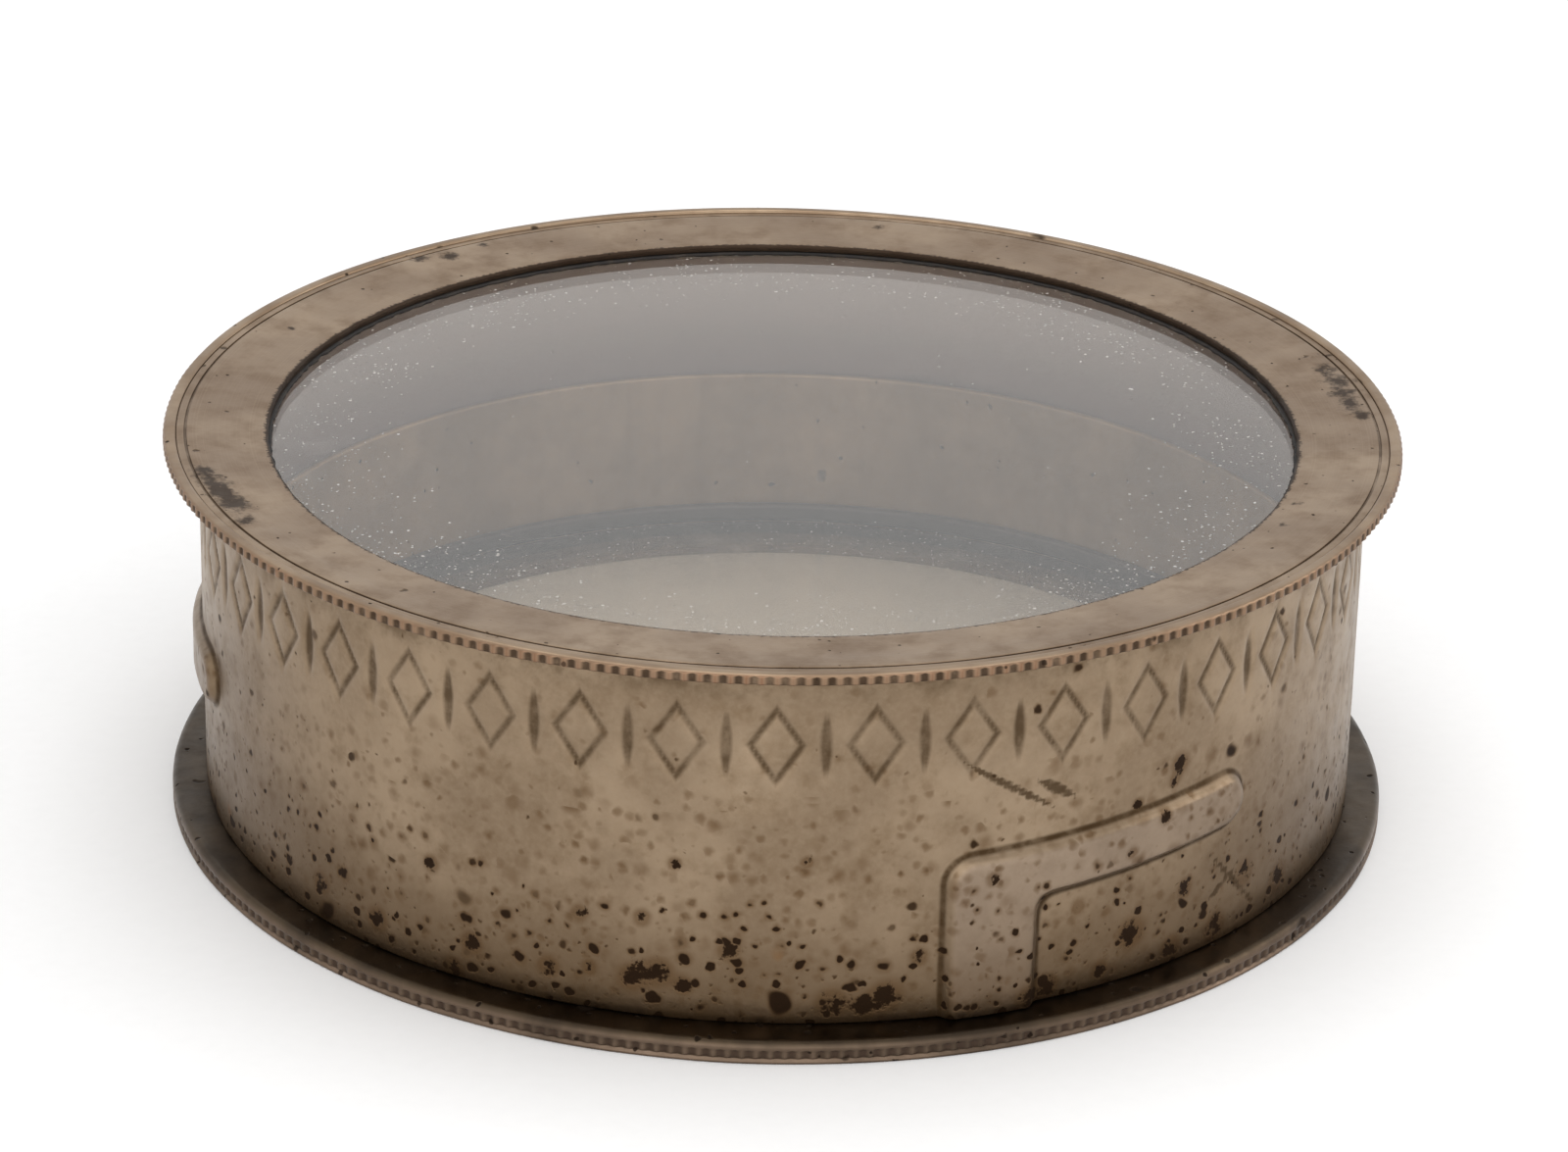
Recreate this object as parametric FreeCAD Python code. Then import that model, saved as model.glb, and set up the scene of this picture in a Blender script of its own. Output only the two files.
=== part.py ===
import FreeCAD, Part
import math
import os

# Twist-lock display case for a pocket-watch movement: a milled-rimmed base and a
# cap, both nickel-plated brass with a flat glass, held together by three pins in
# embossed bayonet channels.
# Millimetres. +Z is up, the case's axis is Z, and the origin is the centre of the
# base's underside. Angles are counted from -Y (the front) towards +X.

# Driving dimensions: overall
BAND_DIAMETER = 50.96
CASE_HEIGHT = 17.37
RIM_PROJECTION = 1.52
LIP_WIDTH = 3.04

# Driving dimensions: cap
CAP_SHEET = 0.30
HEM_LEAF = 0.18
HEM_WIDTH = 0.57
HEM_FOLD = 0.28
BEZEL_MARGIN = 0.14
BEZEL_THICKNESS = 0.20
BEZEL_SLOPE_DROP = 0.22
BEZEL_RIDGE_WIDTH = 0.34
BEZEL_GROOVE_WIDTH = 0.10
BEZEL_SOFT_EDGE = 0.05
LIP_SOFT_EDGE = 0.10
RIM_FILLET = 0.25

# Driving dimensions: base
BASE_SHEET = 0.35
BASE_LEAF = 0.33
BASE_SLEEVE_TOP = 9.0
FOOT_WIDTH = 1.60

# Driving dimensions: glass, seals and spring hoops
GLASS_THICKNESS = 0.80
GLASS_BEVEL = 0.20
TOP_SEAL_THICKNESS = 0.15
BASE_SEAL_THICKNESS = 0.40
HOOP_HEIGHT = 0.75
HOOP_THICKNESS = 0.45
HOOP_GAP = 2.0

# Driving dimensions: milling on both rims
CAP_TOOTH_PITCH = 0.615
BASE_TOOTH_PITCH = 0.581
TOOTH_DEPTH = 0.12
TOOTH_ROOT_SETBACK = 0.03
CAP_EDGE_ABOVE_TEETH = 0.07
CAP_EDGE_BELOW_TEETH = 0.03
BASE_EDGE_ABOVE_TEETH = 0.40
BASE_EDGE_BELOW_TEETH = 0.23

# Driving dimensions: bayonet
CHANNEL_COUNT = 3
CHANNEL_ANGLE = 20.3
CHANNEL_REACH = 26.2
CHANNEL_END_HEIGHT = 7.70
CHANNEL_RISE = 0.615
CHANNEL_DEPTH = 0.45
LEG_PLAY = 2.20
CHANNEL_OUTER_CORNER = 1.2
CHANNEL_INNER_CORNER = 1.0
PIN_DIAMETER = 1.20
PIN_CHAMFER = 0.12
LOCK_TURN = 25.9

# Clearances
SLEEVE_CLEARANCE = 0.15
SEAT_CLEARANCE = 0.02
STACK_CLEARANCE = 0.03
GLASS_CLEARANCE = 0.08
HOOP_CLEARANCE = 0.02
PIN_END_CLEARANCE = 0.08
PIN_RAMP_CLEARANCE = 0.03
PIN_TOP_CLEARANCE = 0.055
LEAF_CLEARANCE = 0.04
SEAL_SETBACK = 0.06

# Radii
band_radius = BAND_DIAMETER / 2
rim_radius = band_radius + RIM_PROJECTION
rim_body = rim_radius - TOOTH_DEPTH - TOOTH_ROOT_SETBACK
sight_radius = band_radius - LIP_WIDTH
cap_bore = band_radius - CAP_SHEET
base_outer = cap_bore - SLEEVE_CLEARANCE
base_bore = base_outer - BASE_SHEET
hem_edge = rim_radius - HEM_WIDTH
hem_root = rim_radius - HEM_FOLD
foot_radius = base_outer + FOOT_WIDTH

# Heights
foot_bottom = BASE_SHEET
foot_top = foot_bottom + BASE_SHEET
base_seat = foot_top + BASE_LEAF
cap_bottom = base_seat + SEAT_CLEARANCE
flange_underside = CASE_HEIGHT - 2 * HEM_LEAF - BEZEL_MARGIN
bezel_seat = flange_underside + HEM_LEAF
margin_top = bezel_seat + BEZEL_MARGIN

# Bayonet, worked out on the band's surface
channel_middle = CHANNEL_ANGLE + CHANNEL_REACH / 2
half_reach = band_radius * math.sin(math.radians(CHANNEL_REACH / 2))
ramp_slope = CHANNEL_RISE / (2 * half_reach)
ramp_play = CHANNEL_RISE + PIN_RAMP_CLEARANCE + PIN_TOP_CLEARANCE
ramp_inner_half = (PIN_DIAMETER + ramp_play) / 2
leg_inner_half = (PIN_DIAMETER + LEG_PLAY) / 2
lock_arc = band_radius * math.sin(math.radians(LOCK_TURN - CHANNEL_REACH / 2))
ramp_height_at_lock = CHANNEL_END_HEIGHT + (lock_arc - half_reach) * ramp_slope
pin_height = ramp_height_at_lock - ramp_inner_half + PIN_DIAMETER / 2 + PIN_RAMP_CLEARANCE
pin_tip = cap_bore + CHANNEL_DEPTH - PIN_END_CLEARANCE

# Glass stacks
lip_underside = bezel_seat - BEZEL_SLOPE_DROP - BEZEL_THICKNESS / 2
top_seal_top = lip_underside - STACK_CLEARANCE
top_glass_top = top_seal_top - TOP_SEAL_THICKNESS
top_glass_bottom = top_glass_top - GLASS_THICKNESS
top_glass_radius = cap_bore - GLASS_CLEARANCE
base_seal_bottom = BASE_SHEET
base_glass_bottom = base_seal_bottom + BASE_SEAL_THICKNESS
base_glass_top = base_glass_bottom + GLASS_THICKNESS
base_glass_radius = base_bore - GLASS_CLEARANCE

AXIS = FreeCAD.Vector(0, 0, 1)
CENTRE = FreeCAD.Vector(0, 0, 0)
OVERRUN = 1.0
NEARLY_WHOLE = 0.999
EDGE_TOLERANCE = 1e-6


def polar(radius, degrees, height=0.0):
    """Point at a radius and an angle from the front (-Y), turning towards +X."""
    angle = math.radians(degrees)
    return FreeCAD.Vector(radius * math.sin(angle), -radius * math.cos(angle), height)


def rounded_wire(corners):
    """Closed wire in the XZ plane through (x, z, corner radius) corners.

    Each corner is cut back along both sides by radius / tan(half its angle) and
    joined by an arc.
    """
    points = [FreeCAD.Vector(x, 0, z) for x, z, _ in corners]
    radii = [radius for _, _, radius in corners]
    spans = []
    for index, corner in enumerate(points):
        before = (points[index - 1] - corner).normalize()
        after = (points[(index + 1) % len(points)] - corner).normalize()
        half_angle = before.getAngle(after) / 2
        cut = radii[index] / math.tan(half_angle)
        inward = (before + after).normalize()
        to_arc = radii[index] / math.sin(half_angle) - radii[index]
        spans.append((corner + before * cut, corner + inward * to_arc, corner + after * cut))
    edges = []
    for index, (start, middle, end) in enumerate(spans):
        previous_end = spans[index - 1][2]
        if previous_end.distanceToPoint(start) > EDGE_TOLERANCE:
            edges.append(Part.LineSegment(previous_end, start).toShape())
        if radii[index] > 0:
            edges.append(Part.Arc(start, middle, end).toShape())
    return Part.Wire(edges)


def turned(corners):
    """Ring turned about Z from a closed outline of (radius, height, corner radius)."""
    return Part.Face(rounded_wire(corners)).revolve(CENTRE, AXIS, 360)


def tube(inner, outer, bottom, top):
    """Plain ring between two radii and two heights."""
    return turned([(inner, bottom, 0), (outer, bottom, 0), (outer, top, 0), (inner, top, 0)])


def tooth_count(pitch):
    """Whole teeth round the rim, a multiple of four so that all four sides match."""
    return 4 * round(2 * math.pi * rim_radius / (4 * pitch))


def milled_band(pitch, bottom, top):
    """Band of teeth between two heights: a zigzag outside, a round hole inside.

    The hole is a little smaller than the rim that the band is joined to.
    """
    teeth = tooth_count(pitch)
    half_step = 180.0 / teeth
    points = []
    for step in range(2 * teeth):
        radius = rim_radius - TOOTH_DEPTH * (step % 2)
        points.append(polar(radius, step * half_step, bottom))
    crests = Part.makePolygon(points + points[:1])
    hole = Part.Wire(Part.makeCircle(rim_body - TOOTH_ROOT_SETBACK, CENTRE + AXIS * bottom, AXIS))
    face = Part.makeFace([crests, hole], "Part::FaceMakerBullseye")
    return face.extrude(AXIS * (top - bottom))


def channel_prism(wall, inner, outer):
    """L-shaped bayonet outline, a wall's thickness outside the pin's track, between two radii.

    A leg runs up from below the band, then a ramp climbs at a small angle to a full
    round end. The outline is flat and is driven straight out at the channel's middle.
    """
    leg_half = leg_inner_half + wall
    ramp_half = ramp_inner_half + wall
    leg_left = -half_reach - leg_half
    leg_right = -half_reach + leg_half
    lift = ramp_half / math.cos(math.atan(ramp_slope))

    def ramp_edge(across, side):
        return CHANNEL_END_HEIGHT + (across - half_reach) * ramp_slope + side * lift

    end_right = half_reach + ramp_half
    below = cap_bottom - OVERRUN
    outer_corner = CHANNEL_OUTER_CORNER + wall
    inner_corner = max(CHANNEL_INNER_CORNER - wall, 0)
    full_round = ramp_half * NEARLY_WHOLE
    outline = rounded_wire([
        (leg_left, below, 0),
        (leg_right, below, 0),
        (leg_right, ramp_edge(leg_right, -1), inner_corner),
        (end_right, ramp_edge(end_right, -1), full_round),
        (end_right, ramp_edge(end_right, 1), full_round),
        (leg_left, ramp_edge(leg_left, 1), outer_corner),
    ])
    prism = Part.Face(outline).extrude(FreeCAD.Vector(0, -(outer + OVERRUN), 0))
    shell = tube(inner, outer, cap_bottom - OVERRUN, flange_underside)
    return prism.common(shell)


def channel_positions():
    """Angles of the channels' middles round the case."""
    return [channel_middle + 360.0 * index / CHANNEL_COUNT for index in range(CHANNEL_COUNT)]


def turned_copies(shape, angles):
    """Copies of a shape made at the front, turned to each angle about Z."""
    copies = []
    for angle in angles:
        copy = shape.copy()
        copy.rotate(CENTRE, AXIS, angle)
        copies.append(copy)
    return copies


def cap_sleeve():
    """Band, turned-out flange and hemmed milled rim in one sheet, with the channels."""
    body = turned([
        (cap_bore, cap_bottom, 0),
        (band_radius, cap_bottom, 0),
        (band_radius, flange_underside, RIM_FILLET),
        (rim_body, flange_underside, HEM_LEAF / 4),
        (rim_body, CASE_HEIGHT, HEM_LEAF),
        (hem_edge, CASE_HEIGHT, HEM_LEAF / 2),
        (hem_edge, margin_top, 0),
        (hem_root, margin_top, 0),
        (hem_root, bezel_seat, 0),
        (cap_bore, bezel_seat, 0),
    ])
    embossed = channel_prism(CAP_SHEET, cap_bore + CAP_SHEET / 2, band_radius + CHANNEL_DEPTH)
    hollow = channel_prism(0, base_outer, cap_bore + CHANNEL_DEPTH)
    below = tube(base_outer, rim_radius, cap_bottom - 2 * OVERRUN, cap_bottom)
    for pad in turned_copies(embossed.cut(below), channel_positions()):
        body = body.fuse(pad)
    for cavity in turned_copies(hollow, channel_positions()):
        body = body.cut(cavity)
    teeth_bottom = flange_underside + CAP_EDGE_BELOW_TEETH
    teeth_top = CASE_HEIGHT - CAP_EDGE_ABOVE_TEETH
    return body.fuse(milled_band(CAP_TOOTH_PITCH, teeth_bottom, teeth_top))


def cap_bezel():
    """Flat ring held in the hem: a raised bead, a groove, then a slope to the sight."""
    grip = hem_root - HOOP_CLEARANCE
    ridge_outer = hem_edge - HOOP_CLEARANCE
    groove_outer = ridge_outer - BEZEL_RIDGE_WIDTH
    groove_inner = groove_outer - BEZEL_GROOVE_WIDTH
    seat_edge = cap_bore - GLASS_CLEARANCE
    top = margin_top + BEZEL_THICKNESS - BEZEL_MARGIN
    ridge_top = top - HOOP_CLEARANCE
    return turned([
        (sight_radius, lip_underside, 0),
        (seat_edge, bezel_seat - STACK_CLEARANCE, 0),
        (seat_edge, bezel_seat, 0),
        (grip, bezel_seat, 0),
        (grip, margin_top, 0),
        (ridge_outer, margin_top, 0),
        (ridge_outer, ridge_top, BEZEL_SOFT_EDGE / 2),
        (groove_outer, ridge_top, BEZEL_SOFT_EDGE / 2),
        (groove_outer, margin_top, 0),
        (groove_inner, margin_top, 0),
        (groove_inner, top, BEZEL_SOFT_EDGE),
        (sight_radius, top - BEZEL_SLOPE_DROP, LIP_SOFT_EDGE),
    ])


def seal(bottom, thickness, outer):
    """Flat black ring under a lip, set back a little from the sight opening."""
    return tube(sight_radius + SEAL_SETBACK, outer, bottom, bottom + thickness)


def glass(radius, bottom):
    """Flat round glass with its two edges bevelled."""
    top = bottom + GLASS_THICKNESS
    return turned([
        (0, bottom, 0),
        (radius - GLASS_BEVEL, bottom, 0),
        (radius, bottom + GLASS_BEVEL, 0),
        (radius, top - GLASS_BEVEL, 0),
        (radius - GLASS_BEVEL, top, 0),
        (0, top, 0),
    ])


def spring_hoop(bore, bottom):
    """Split spring ring that snaps into a sleeve and holds a glass; its gap is in front."""
    outer = bore - HOOP_CLEARANCE
    inner = outer - HOOP_THICKNESS
    round_edge = HOOP_THICKNESS / 3
    hoop = turned([
        (inner, bottom, round_edge),
        (outer, bottom, 0),
        (outer, bottom + HOOP_HEIGHT, 0),
        (inner, bottom + HOOP_HEIGHT, round_edge),
    ])
    corner = FreeCAD.Vector(-HOOP_GAP / 2, -outer - OVERRUN, bottom - OVERRUN)
    gap = Part.makeBox(HOOP_GAP, outer, HOOP_HEIGHT + 2 * OVERRUN, corner)
    return hoop.cut(gap)


def base_bezel():
    """Base ring: the sight lip below, and a milled rim folded over the sleeve's foot."""
    leaf_edge = base_outer + LEAF_CLEARANCE
    foot_space = foot_radius + HOOP_CLEARANCE
    ring = turned([
        (sight_radius, 0, LIP_SOFT_EDGE),
        (rim_body, 0, LIP_SOFT_EDGE),
        (rim_body, base_seat, BASE_LEAF / 2),
        (leaf_edge, base_seat, 0),
        (leaf_edge, foot_top, 0),
        (foot_space, foot_top, 0),
        (foot_space, foot_bottom, 0),
        (sight_radius, foot_bottom, LIP_SOFT_EDGE),
    ])
    teeth_top = base_seat - BASE_EDGE_ABOVE_TEETH
    return ring.fuse(milled_band(BASE_TOOTH_PITCH, BASE_EDGE_BELOW_TEETH, teeth_top))


def pin_hole():
    """Radial hole through the base sleeve, at the front."""
    start = polar(base_bore - OVERRUN, 0, pin_height)
    return Part.makeCylinder(PIN_DIAMETER / 2, 2 * OVERRUN + BASE_SHEET, start, polar(1, 0))


def pin_positions():
    """Angles of the pins: each stands in the middle of its channel's leg at rest."""
    return [CHANNEL_ANGLE + 360.0 * index / CHANNEL_COUNT for index in range(CHANNEL_COUNT)]


def base_sleeve():
    """Inner sleeve that the cap slides over, turned out into a foot, with pin holes."""
    sleeve = turned([
        (base_bore, foot_bottom, 0),
        (foot_radius, foot_bottom, 0),
        (foot_radius, foot_top, 0),
        (base_outer, foot_top, 0),
        (base_outer, BASE_SLEEVE_TOP, BASE_SHEET / 3),
        (base_bore, BASE_SLEEVE_TOP, BASE_SHEET / 3),
    ])
    for hole in turned_copies(pin_hole(), pin_positions()):
        sleeve = sleeve.cut(hole)
    return sleeve


def bayonet_pin():
    """Short pin pressed through the sleeve, flush inside and chamfered outside."""
    length = pin_tip - base_bore
    radius = PIN_DIAMETER / 2
    root = polar(base_bore, 0, pin_height)
    shank = Part.makeCylinder(radius, length - PIN_CHAMFER, root, polar(1, 0))
    shoulder = polar(pin_tip - PIN_CHAMFER, 0, pin_height)
    nose = Part.makeCone(radius, radius - PIN_CHAMFER, PIN_CHAMFER, shoulder, polar(1, 0))
    return shank.fuse(nose).removeSplitter()


def all_parts():
    """Every sub-part by node name."""
    parts = {
        "cap_sleeve": cap_sleeve(),
        "cap_bezel": cap_bezel(),
        "cap_glass_hoop": spring_hoop(cap_bore, top_glass_bottom - HOOP_CLEARANCE - HOOP_HEIGHT),
        "top_glass_seal": seal(top_glass_top, TOP_SEAL_THICKNESS, top_glass_radius),
        "top_glass": glass(top_glass_radius, top_glass_bottom),
        "base_bezel": base_bezel(),
        "base_sleeve": base_sleeve(),
        "base_glass_seal": seal(base_seal_bottom, BASE_SEAL_THICKNESS, base_glass_radius),
        "base_glass": glass(base_glass_radius, base_glass_bottom),
        "base_glass_hoop": spring_hoop(base_bore, base_glass_top),
    }
    for index, pin in enumerate(turned_copies(bayonet_pin(), pin_positions())):
        parts[f"bayonet_pin_{index + 1}"] = pin
    return parts


os.makedirs("parts", exist_ok=True)
for name, shape in all_parts().items():
    shape.exportStep(f"parts/{name}.step")
    box = shape.optimalBoundingBox(False)
    print(f"{name}: {len(shape.Solids)} solid, valid {shape.isValid()}, volume {shape.Volume:.2f},"
          f" x {box.XMin:.2f}..{box.XMax:.2f}, y {box.YMin:.2f}..{box.YMax:.2f},"
          f" z {box.ZMin:.2f}..{box.ZMax:.2f}")
print(f"pin height {pin_height:.3f}, lock turn {LOCK_TURN} degrees")
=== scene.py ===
# %% [markdown]
# # A twist-lock glass case in nickel-plated brass
#
# This is a low round case, 54 mm across its milled rims and 17 mm tall, that holds and
# shows a bare pocket-watch movement between two flat glasses. The base carries an inner
# sleeve with three small pins. The cap slides over it, and its three embossed L-shaped
# channels run on the pins: push down, turn, and the sloping channel pulls the cap tight.
#
# The CAD model fixes every size. Here each visible piece is made again as a fine numpy
# surface with the rolled edges, stamping, dents and worn teeth of an old tin, and gets a
# finish built from nodes.

# %% Load the frame
import math

import bmesh
import bpy
import numpy as np
from mathutils import Matrix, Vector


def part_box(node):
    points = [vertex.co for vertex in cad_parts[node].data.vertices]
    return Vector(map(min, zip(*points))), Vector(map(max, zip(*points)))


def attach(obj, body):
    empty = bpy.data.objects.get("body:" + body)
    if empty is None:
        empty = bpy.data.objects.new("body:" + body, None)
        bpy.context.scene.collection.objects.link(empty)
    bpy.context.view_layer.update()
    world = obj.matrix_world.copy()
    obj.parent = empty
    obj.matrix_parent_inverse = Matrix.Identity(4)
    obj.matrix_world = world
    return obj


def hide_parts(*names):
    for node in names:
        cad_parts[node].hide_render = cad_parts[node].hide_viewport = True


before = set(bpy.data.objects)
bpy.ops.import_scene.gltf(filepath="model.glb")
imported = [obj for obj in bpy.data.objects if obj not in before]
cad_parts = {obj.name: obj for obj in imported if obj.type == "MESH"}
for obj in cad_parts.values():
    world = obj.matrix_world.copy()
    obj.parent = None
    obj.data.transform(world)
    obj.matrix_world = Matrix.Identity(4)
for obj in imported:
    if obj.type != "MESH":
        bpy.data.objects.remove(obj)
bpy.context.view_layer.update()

# %% [markdown]
# ## Sizes
#
# Blender works in metres, so one named millimetre keeps the numbers readable. Positions
# come from the CAD nodes' own boxes, and the few radii that a box can't give, such as the
# band inside its wider rim, are named once here and used everywhere.

# %% Sizes from the frame
MM = 0.001


def node_size(name):
    """Outer radius, lowest and highest height of a CAD node, in millimetres."""
    low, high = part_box(name)
    return high.x / MM, low.z / MM, high.z / MM


RIM_RADIUS, CAP_BOTTOM, CAP_TOP = node_size("cap_sleeve")
BASE_RIM_TOP = node_size("base_bezel")[2]
FOOT_RADIUS, FOOT_BOTTOM, SLEEVE_TOP = node_size("base_sleeve")
GRIP_RADIUS, LIP_UNDERSIDE, BEZEL_TOP = node_size("cap_bezel")

RIM_PROUD = 1.52
SIGHT_INSET = 3.04
SHEET, BASE_SHEET = 0.30, 0.35
SLEEVE_PLAY = 0.15
HEM_WIDTH, HEM_WALL = 0.57, 0.28
FLANGE_THICKNESS, SEAT_DEPTH, MARGIN_DEPTH = 0.50, 0.32, 0.18
PIN_DIAMETER = 1.20

BAND_RADIUS = RIM_RADIUS - RIM_PROUD
CAP_BORE = BAND_RADIUS - SHEET
SLEEVE_OUTER = CAP_BORE - SLEEVE_PLAY
SLEEVE_BORE = SLEEVE_OUTER - BASE_SHEET
SIGHT_RADIUS = BAND_RADIUS - SIGHT_INSET
HEM_EDGE = RIM_RADIUS - HEM_WIDTH
HEM_ROOT = RIM_RADIUS - HEM_WALL
FLANGE_UNDERSIDE = CAP_TOP - FLANGE_THICKNESS
BEZEL_SEAT = CAP_TOP - SEAT_DEPTH
MARGIN_TOP = CAP_TOP - MARGIN_DEPTH
print(f"rim {RIM_RADIUS:.2f}, band {BAND_RADIUS:.2f}, sight {SIGHT_RADIUS:.2f} mm,",
      f"top {CAP_TOP:.2f} mm")

# %% [markdown]
# ## Camera
#
# A long lens from about 24 cm, looking down at nearly 24 degrees, keeps the ellipses of
# the two rims almost parallel, as in a catalogue picture. The case leans in the frame by
# a degree, so the camera is rolled by the same amount. Depth of field stays off.

# %% Camera
CAMERA_DISTANCE = 238.8 * MM
CAMERA_PITCH = math.radians(23.74)
CAMERA_ROLL = math.radians(1.146)
CAMERA_AIM = np.array([0.17, 0.0, 9.74]) * MM
LENS, SENSOR = 123.75, 36.0


def unit(vector):
    """A vector scaled to length one."""
    return np.asarray(vector, float) / np.linalg.norm(vector)


def add_camera():
    """Camera behind -Y at the given distance and pitch; its own X axis is tipped by the roll."""
    forward = np.array([0.0, math.cos(CAMERA_PITCH), -math.sin(CAMERA_PITCH)])
    up = np.array([0.0, math.sin(CAMERA_PITCH), math.cos(CAMERA_PITCH)])
    right = np.array([1.0, 0.0, 0.0])
    across = right * math.cos(CAMERA_ROLL) + up * math.sin(CAMERA_ROLL)
    upward = up * math.cos(CAMERA_ROLL) - right * math.sin(CAMERA_ROLL)
    data = bpy.data.cameras.new("catalogue_camera")
    data.lens = LENS
    data.sensor_width = SENSOR
    data.clip_start = 0.01
    data.clip_end = 20.0
    camera = bpy.data.objects.new("catalogue_camera", data)
    bpy.context.scene.collection.objects.link(camera)
    matrix = np.eye(4)
    matrix[:3, 0] = across
    matrix[:3, 1] = upward
    matrix[:3, 2] = -forward
    matrix[:3, 3] = CAMERA_AIM - CAMERA_DISTANCE * forward
    camera.matrix_world = Matrix(matrix.tolist())
    bpy.context.scene.camera = camera
    return camera


camera = add_camera()
print("camera at", [round(c / MM, 1) for c in camera.matrix_world.translation], "mm")

# %% [markdown]
# ## Surfaces as whole arrays
#
# Nearly every piece is a ring: an outline in radius and height, carried once round the
# axis. The outline runs anticlockwise, up the outside and down the inside, so that the
# faces point outwards. A grid holds one row per outline point and one column per step
# round the case, and dents, stamping and teeth are added to the whole array at once.

# %% Grid helpers
def ring_points(radius, angle, height):
    """Points in metres: x = radius sin(angle), y = -radius cos(angle), z = height."""
    radius, angle, height = np.broadcast_arrays(radius, angle, height)
    return np.stack([radius * np.sin(angle), -radius * np.cos(angle), height], axis=-1) * MM


def grid_faces(rows, columns, wrap_rows, wrap_columns):
    """Quads joining each grid point to the next column and the next row."""
    row = np.arange(rows if wrap_rows else rows - 1)
    column = np.arange(columns if wrap_columns else columns - 1)
    row, column = np.meshgrid(row, column, indexing="ij")
    next_row, next_column = (row + 1) % rows, (column + 1) % columns
    corners = [row * columns + column, row * columns + next_column,
               next_row * columns + next_column, next_row * columns + column]
    return np.stack(corners, axis=-1).reshape(-1, 4)


def make_piece(name, points, wrap_rows=True, wrap_columns=True, attributes=None):
    """Mesh object from a grid of points, smooth shaded, with one number per point stored
    for each attribute. A ring that is cut open gets a flat face over each end."""
    rows, columns = points.shape[:2]
    faces = grid_faces(rows, columns, wrap_rows, wrap_columns).tolist()
    if wrap_rows and not wrap_columns:
        first = np.arange(rows) * columns
        faces += [first.tolist(), (first + columns - 1)[::-1].tolist()]
    mesh = bpy.data.meshes.new(name)
    mesh.from_pydata(points.reshape(-1, 3).tolist(), [], faces)
    mesh.shade_smooth()
    for label, values in (attributes or {}).items():
        layer = mesh.attributes.new(label, "FLOAT", "POINT")
        layer.data.foreach_set("value", np.broadcast_to(values, (rows, columns)).ravel())
    piece = bpy.data.objects.new(name, mesh)
    bpy.context.scene.collection.objects.link(piece)
    print(f"{name}: {rows} x {columns} grid, {len(mesh.polygons)} faces")
    return piece


def outline(corners, step=0.6, arc_points=5):
    """Closed outline through (radius, height, corner radius) corners.

    Each rounded corner becomes arc_points points on the arc that touches both sides, and
    straight stretches are divided so that no part is longer than step.
    """
    centres = np.array([corner[:2] for corner in corners], float)
    points = []
    for index, (radius, height, rounding) in enumerate(corners):
        here = np.array([radius, height])
        before = unit(centres[index - 1] - here)
        after = unit(centres[(index + 1) % len(corners)] - here)
        if rounding == 0:
            points.append(here[None])
            continue
        half = math.acos(np.clip(before @ after, -1, 1)) / 2
        middle = here + unit(before + after) * rounding / math.sin(half)
        start = here + before * rounding / math.tan(half) - middle
        end = here + after * rounding / math.tan(half) - middle
        share = np.linspace(0, 1, arc_points)[:, None]
        sweep = start * (1 - share) + end * share
        points.append(middle + sweep / np.linalg.norm(sweep, axis=1, keepdims=True) * rounding)
    points = np.concatenate(points)
    spans = np.roll(points, -1, axis=0) - points
    counts = np.ceil(np.linalg.norm(spans, axis=1) / step).astype(int).clip(1)
    parts = [point + span * np.arange(count)[:, None] / count
             for point, span, count in zip(points, spans, counts)]
    return np.concatenate(parts)


def steps_round(columns, start=0.0, end=2 * math.pi):
    """Angles of the columns round the whole case, without the repeat at the end."""
    return np.linspace(start, end, columns, endpoint=False)[None, :]


def smoothstep(low, high, values):
    """0 below low, 1 above high, and 3t^2 - 2t^3 between them."""
    share = np.clip((values - low) / (high - low), 0, 1)
    return share * share * (3 - 2 * share)


def wander(angle, along, seed, waves=6, highest=9, reach=0.35):
    """Slow unevenness of hand-handled sheet: a sum of a few sines round the case, each
    with its own whole number of turns, tilt along the profile and phase. Within about 1."""
    chance = np.random.default_rng(seed)
    turns = chance.integers(2, highest + 1, waves)
    tilts = chance.uniform(-reach, reach, waves)
    phases = chance.uniform(0, 2 * math.pi, waves)
    total = sum(np.sin(turn * angle + tilt * along + phase)
                for turn, tilt, phase in zip(turns, tilts, phases))
    return total / math.sqrt(waves * 2)


# %% [markdown]
# ## Teeth on the rims
#
# Both rims are milled: a toothed wheel was rolled round the edge and pressed fine upright
# grooves into it. Four columns per tooth are enough: crest, flank, root, flank. The groove
# fades out at the top and bottom of the rolled band, and years of thumbs have worn some
# crests lower than others.

# %% Milled edge
CAP_TEETH, BASE_TEETH = 276, 292
COLUMNS_PER_TOOTH = 4
TOOTH_DEPTH = 0.12
TOOTHED = (RIM_RADIUS - 0.16, RIM_RADIUS - 0.02)


def milling(columns, height, bottom, top, fade):
    """Grooves in mm and as a share: a triangle wave round the rim, faded at both heights."""
    share = np.arange(columns)[None, :] % COLUMNS_PER_TOOTH / COLUMNS_PER_TOOTH
    wave = 1 - np.abs(2 * share - 1)
    inside = smoothstep(bottom - fade, bottom + fade, height)
    inside = inside * (1 - smoothstep(top - fade, top + fade, height))
    return TOOTH_DEPTH * wave * inside, wave * inside


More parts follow.
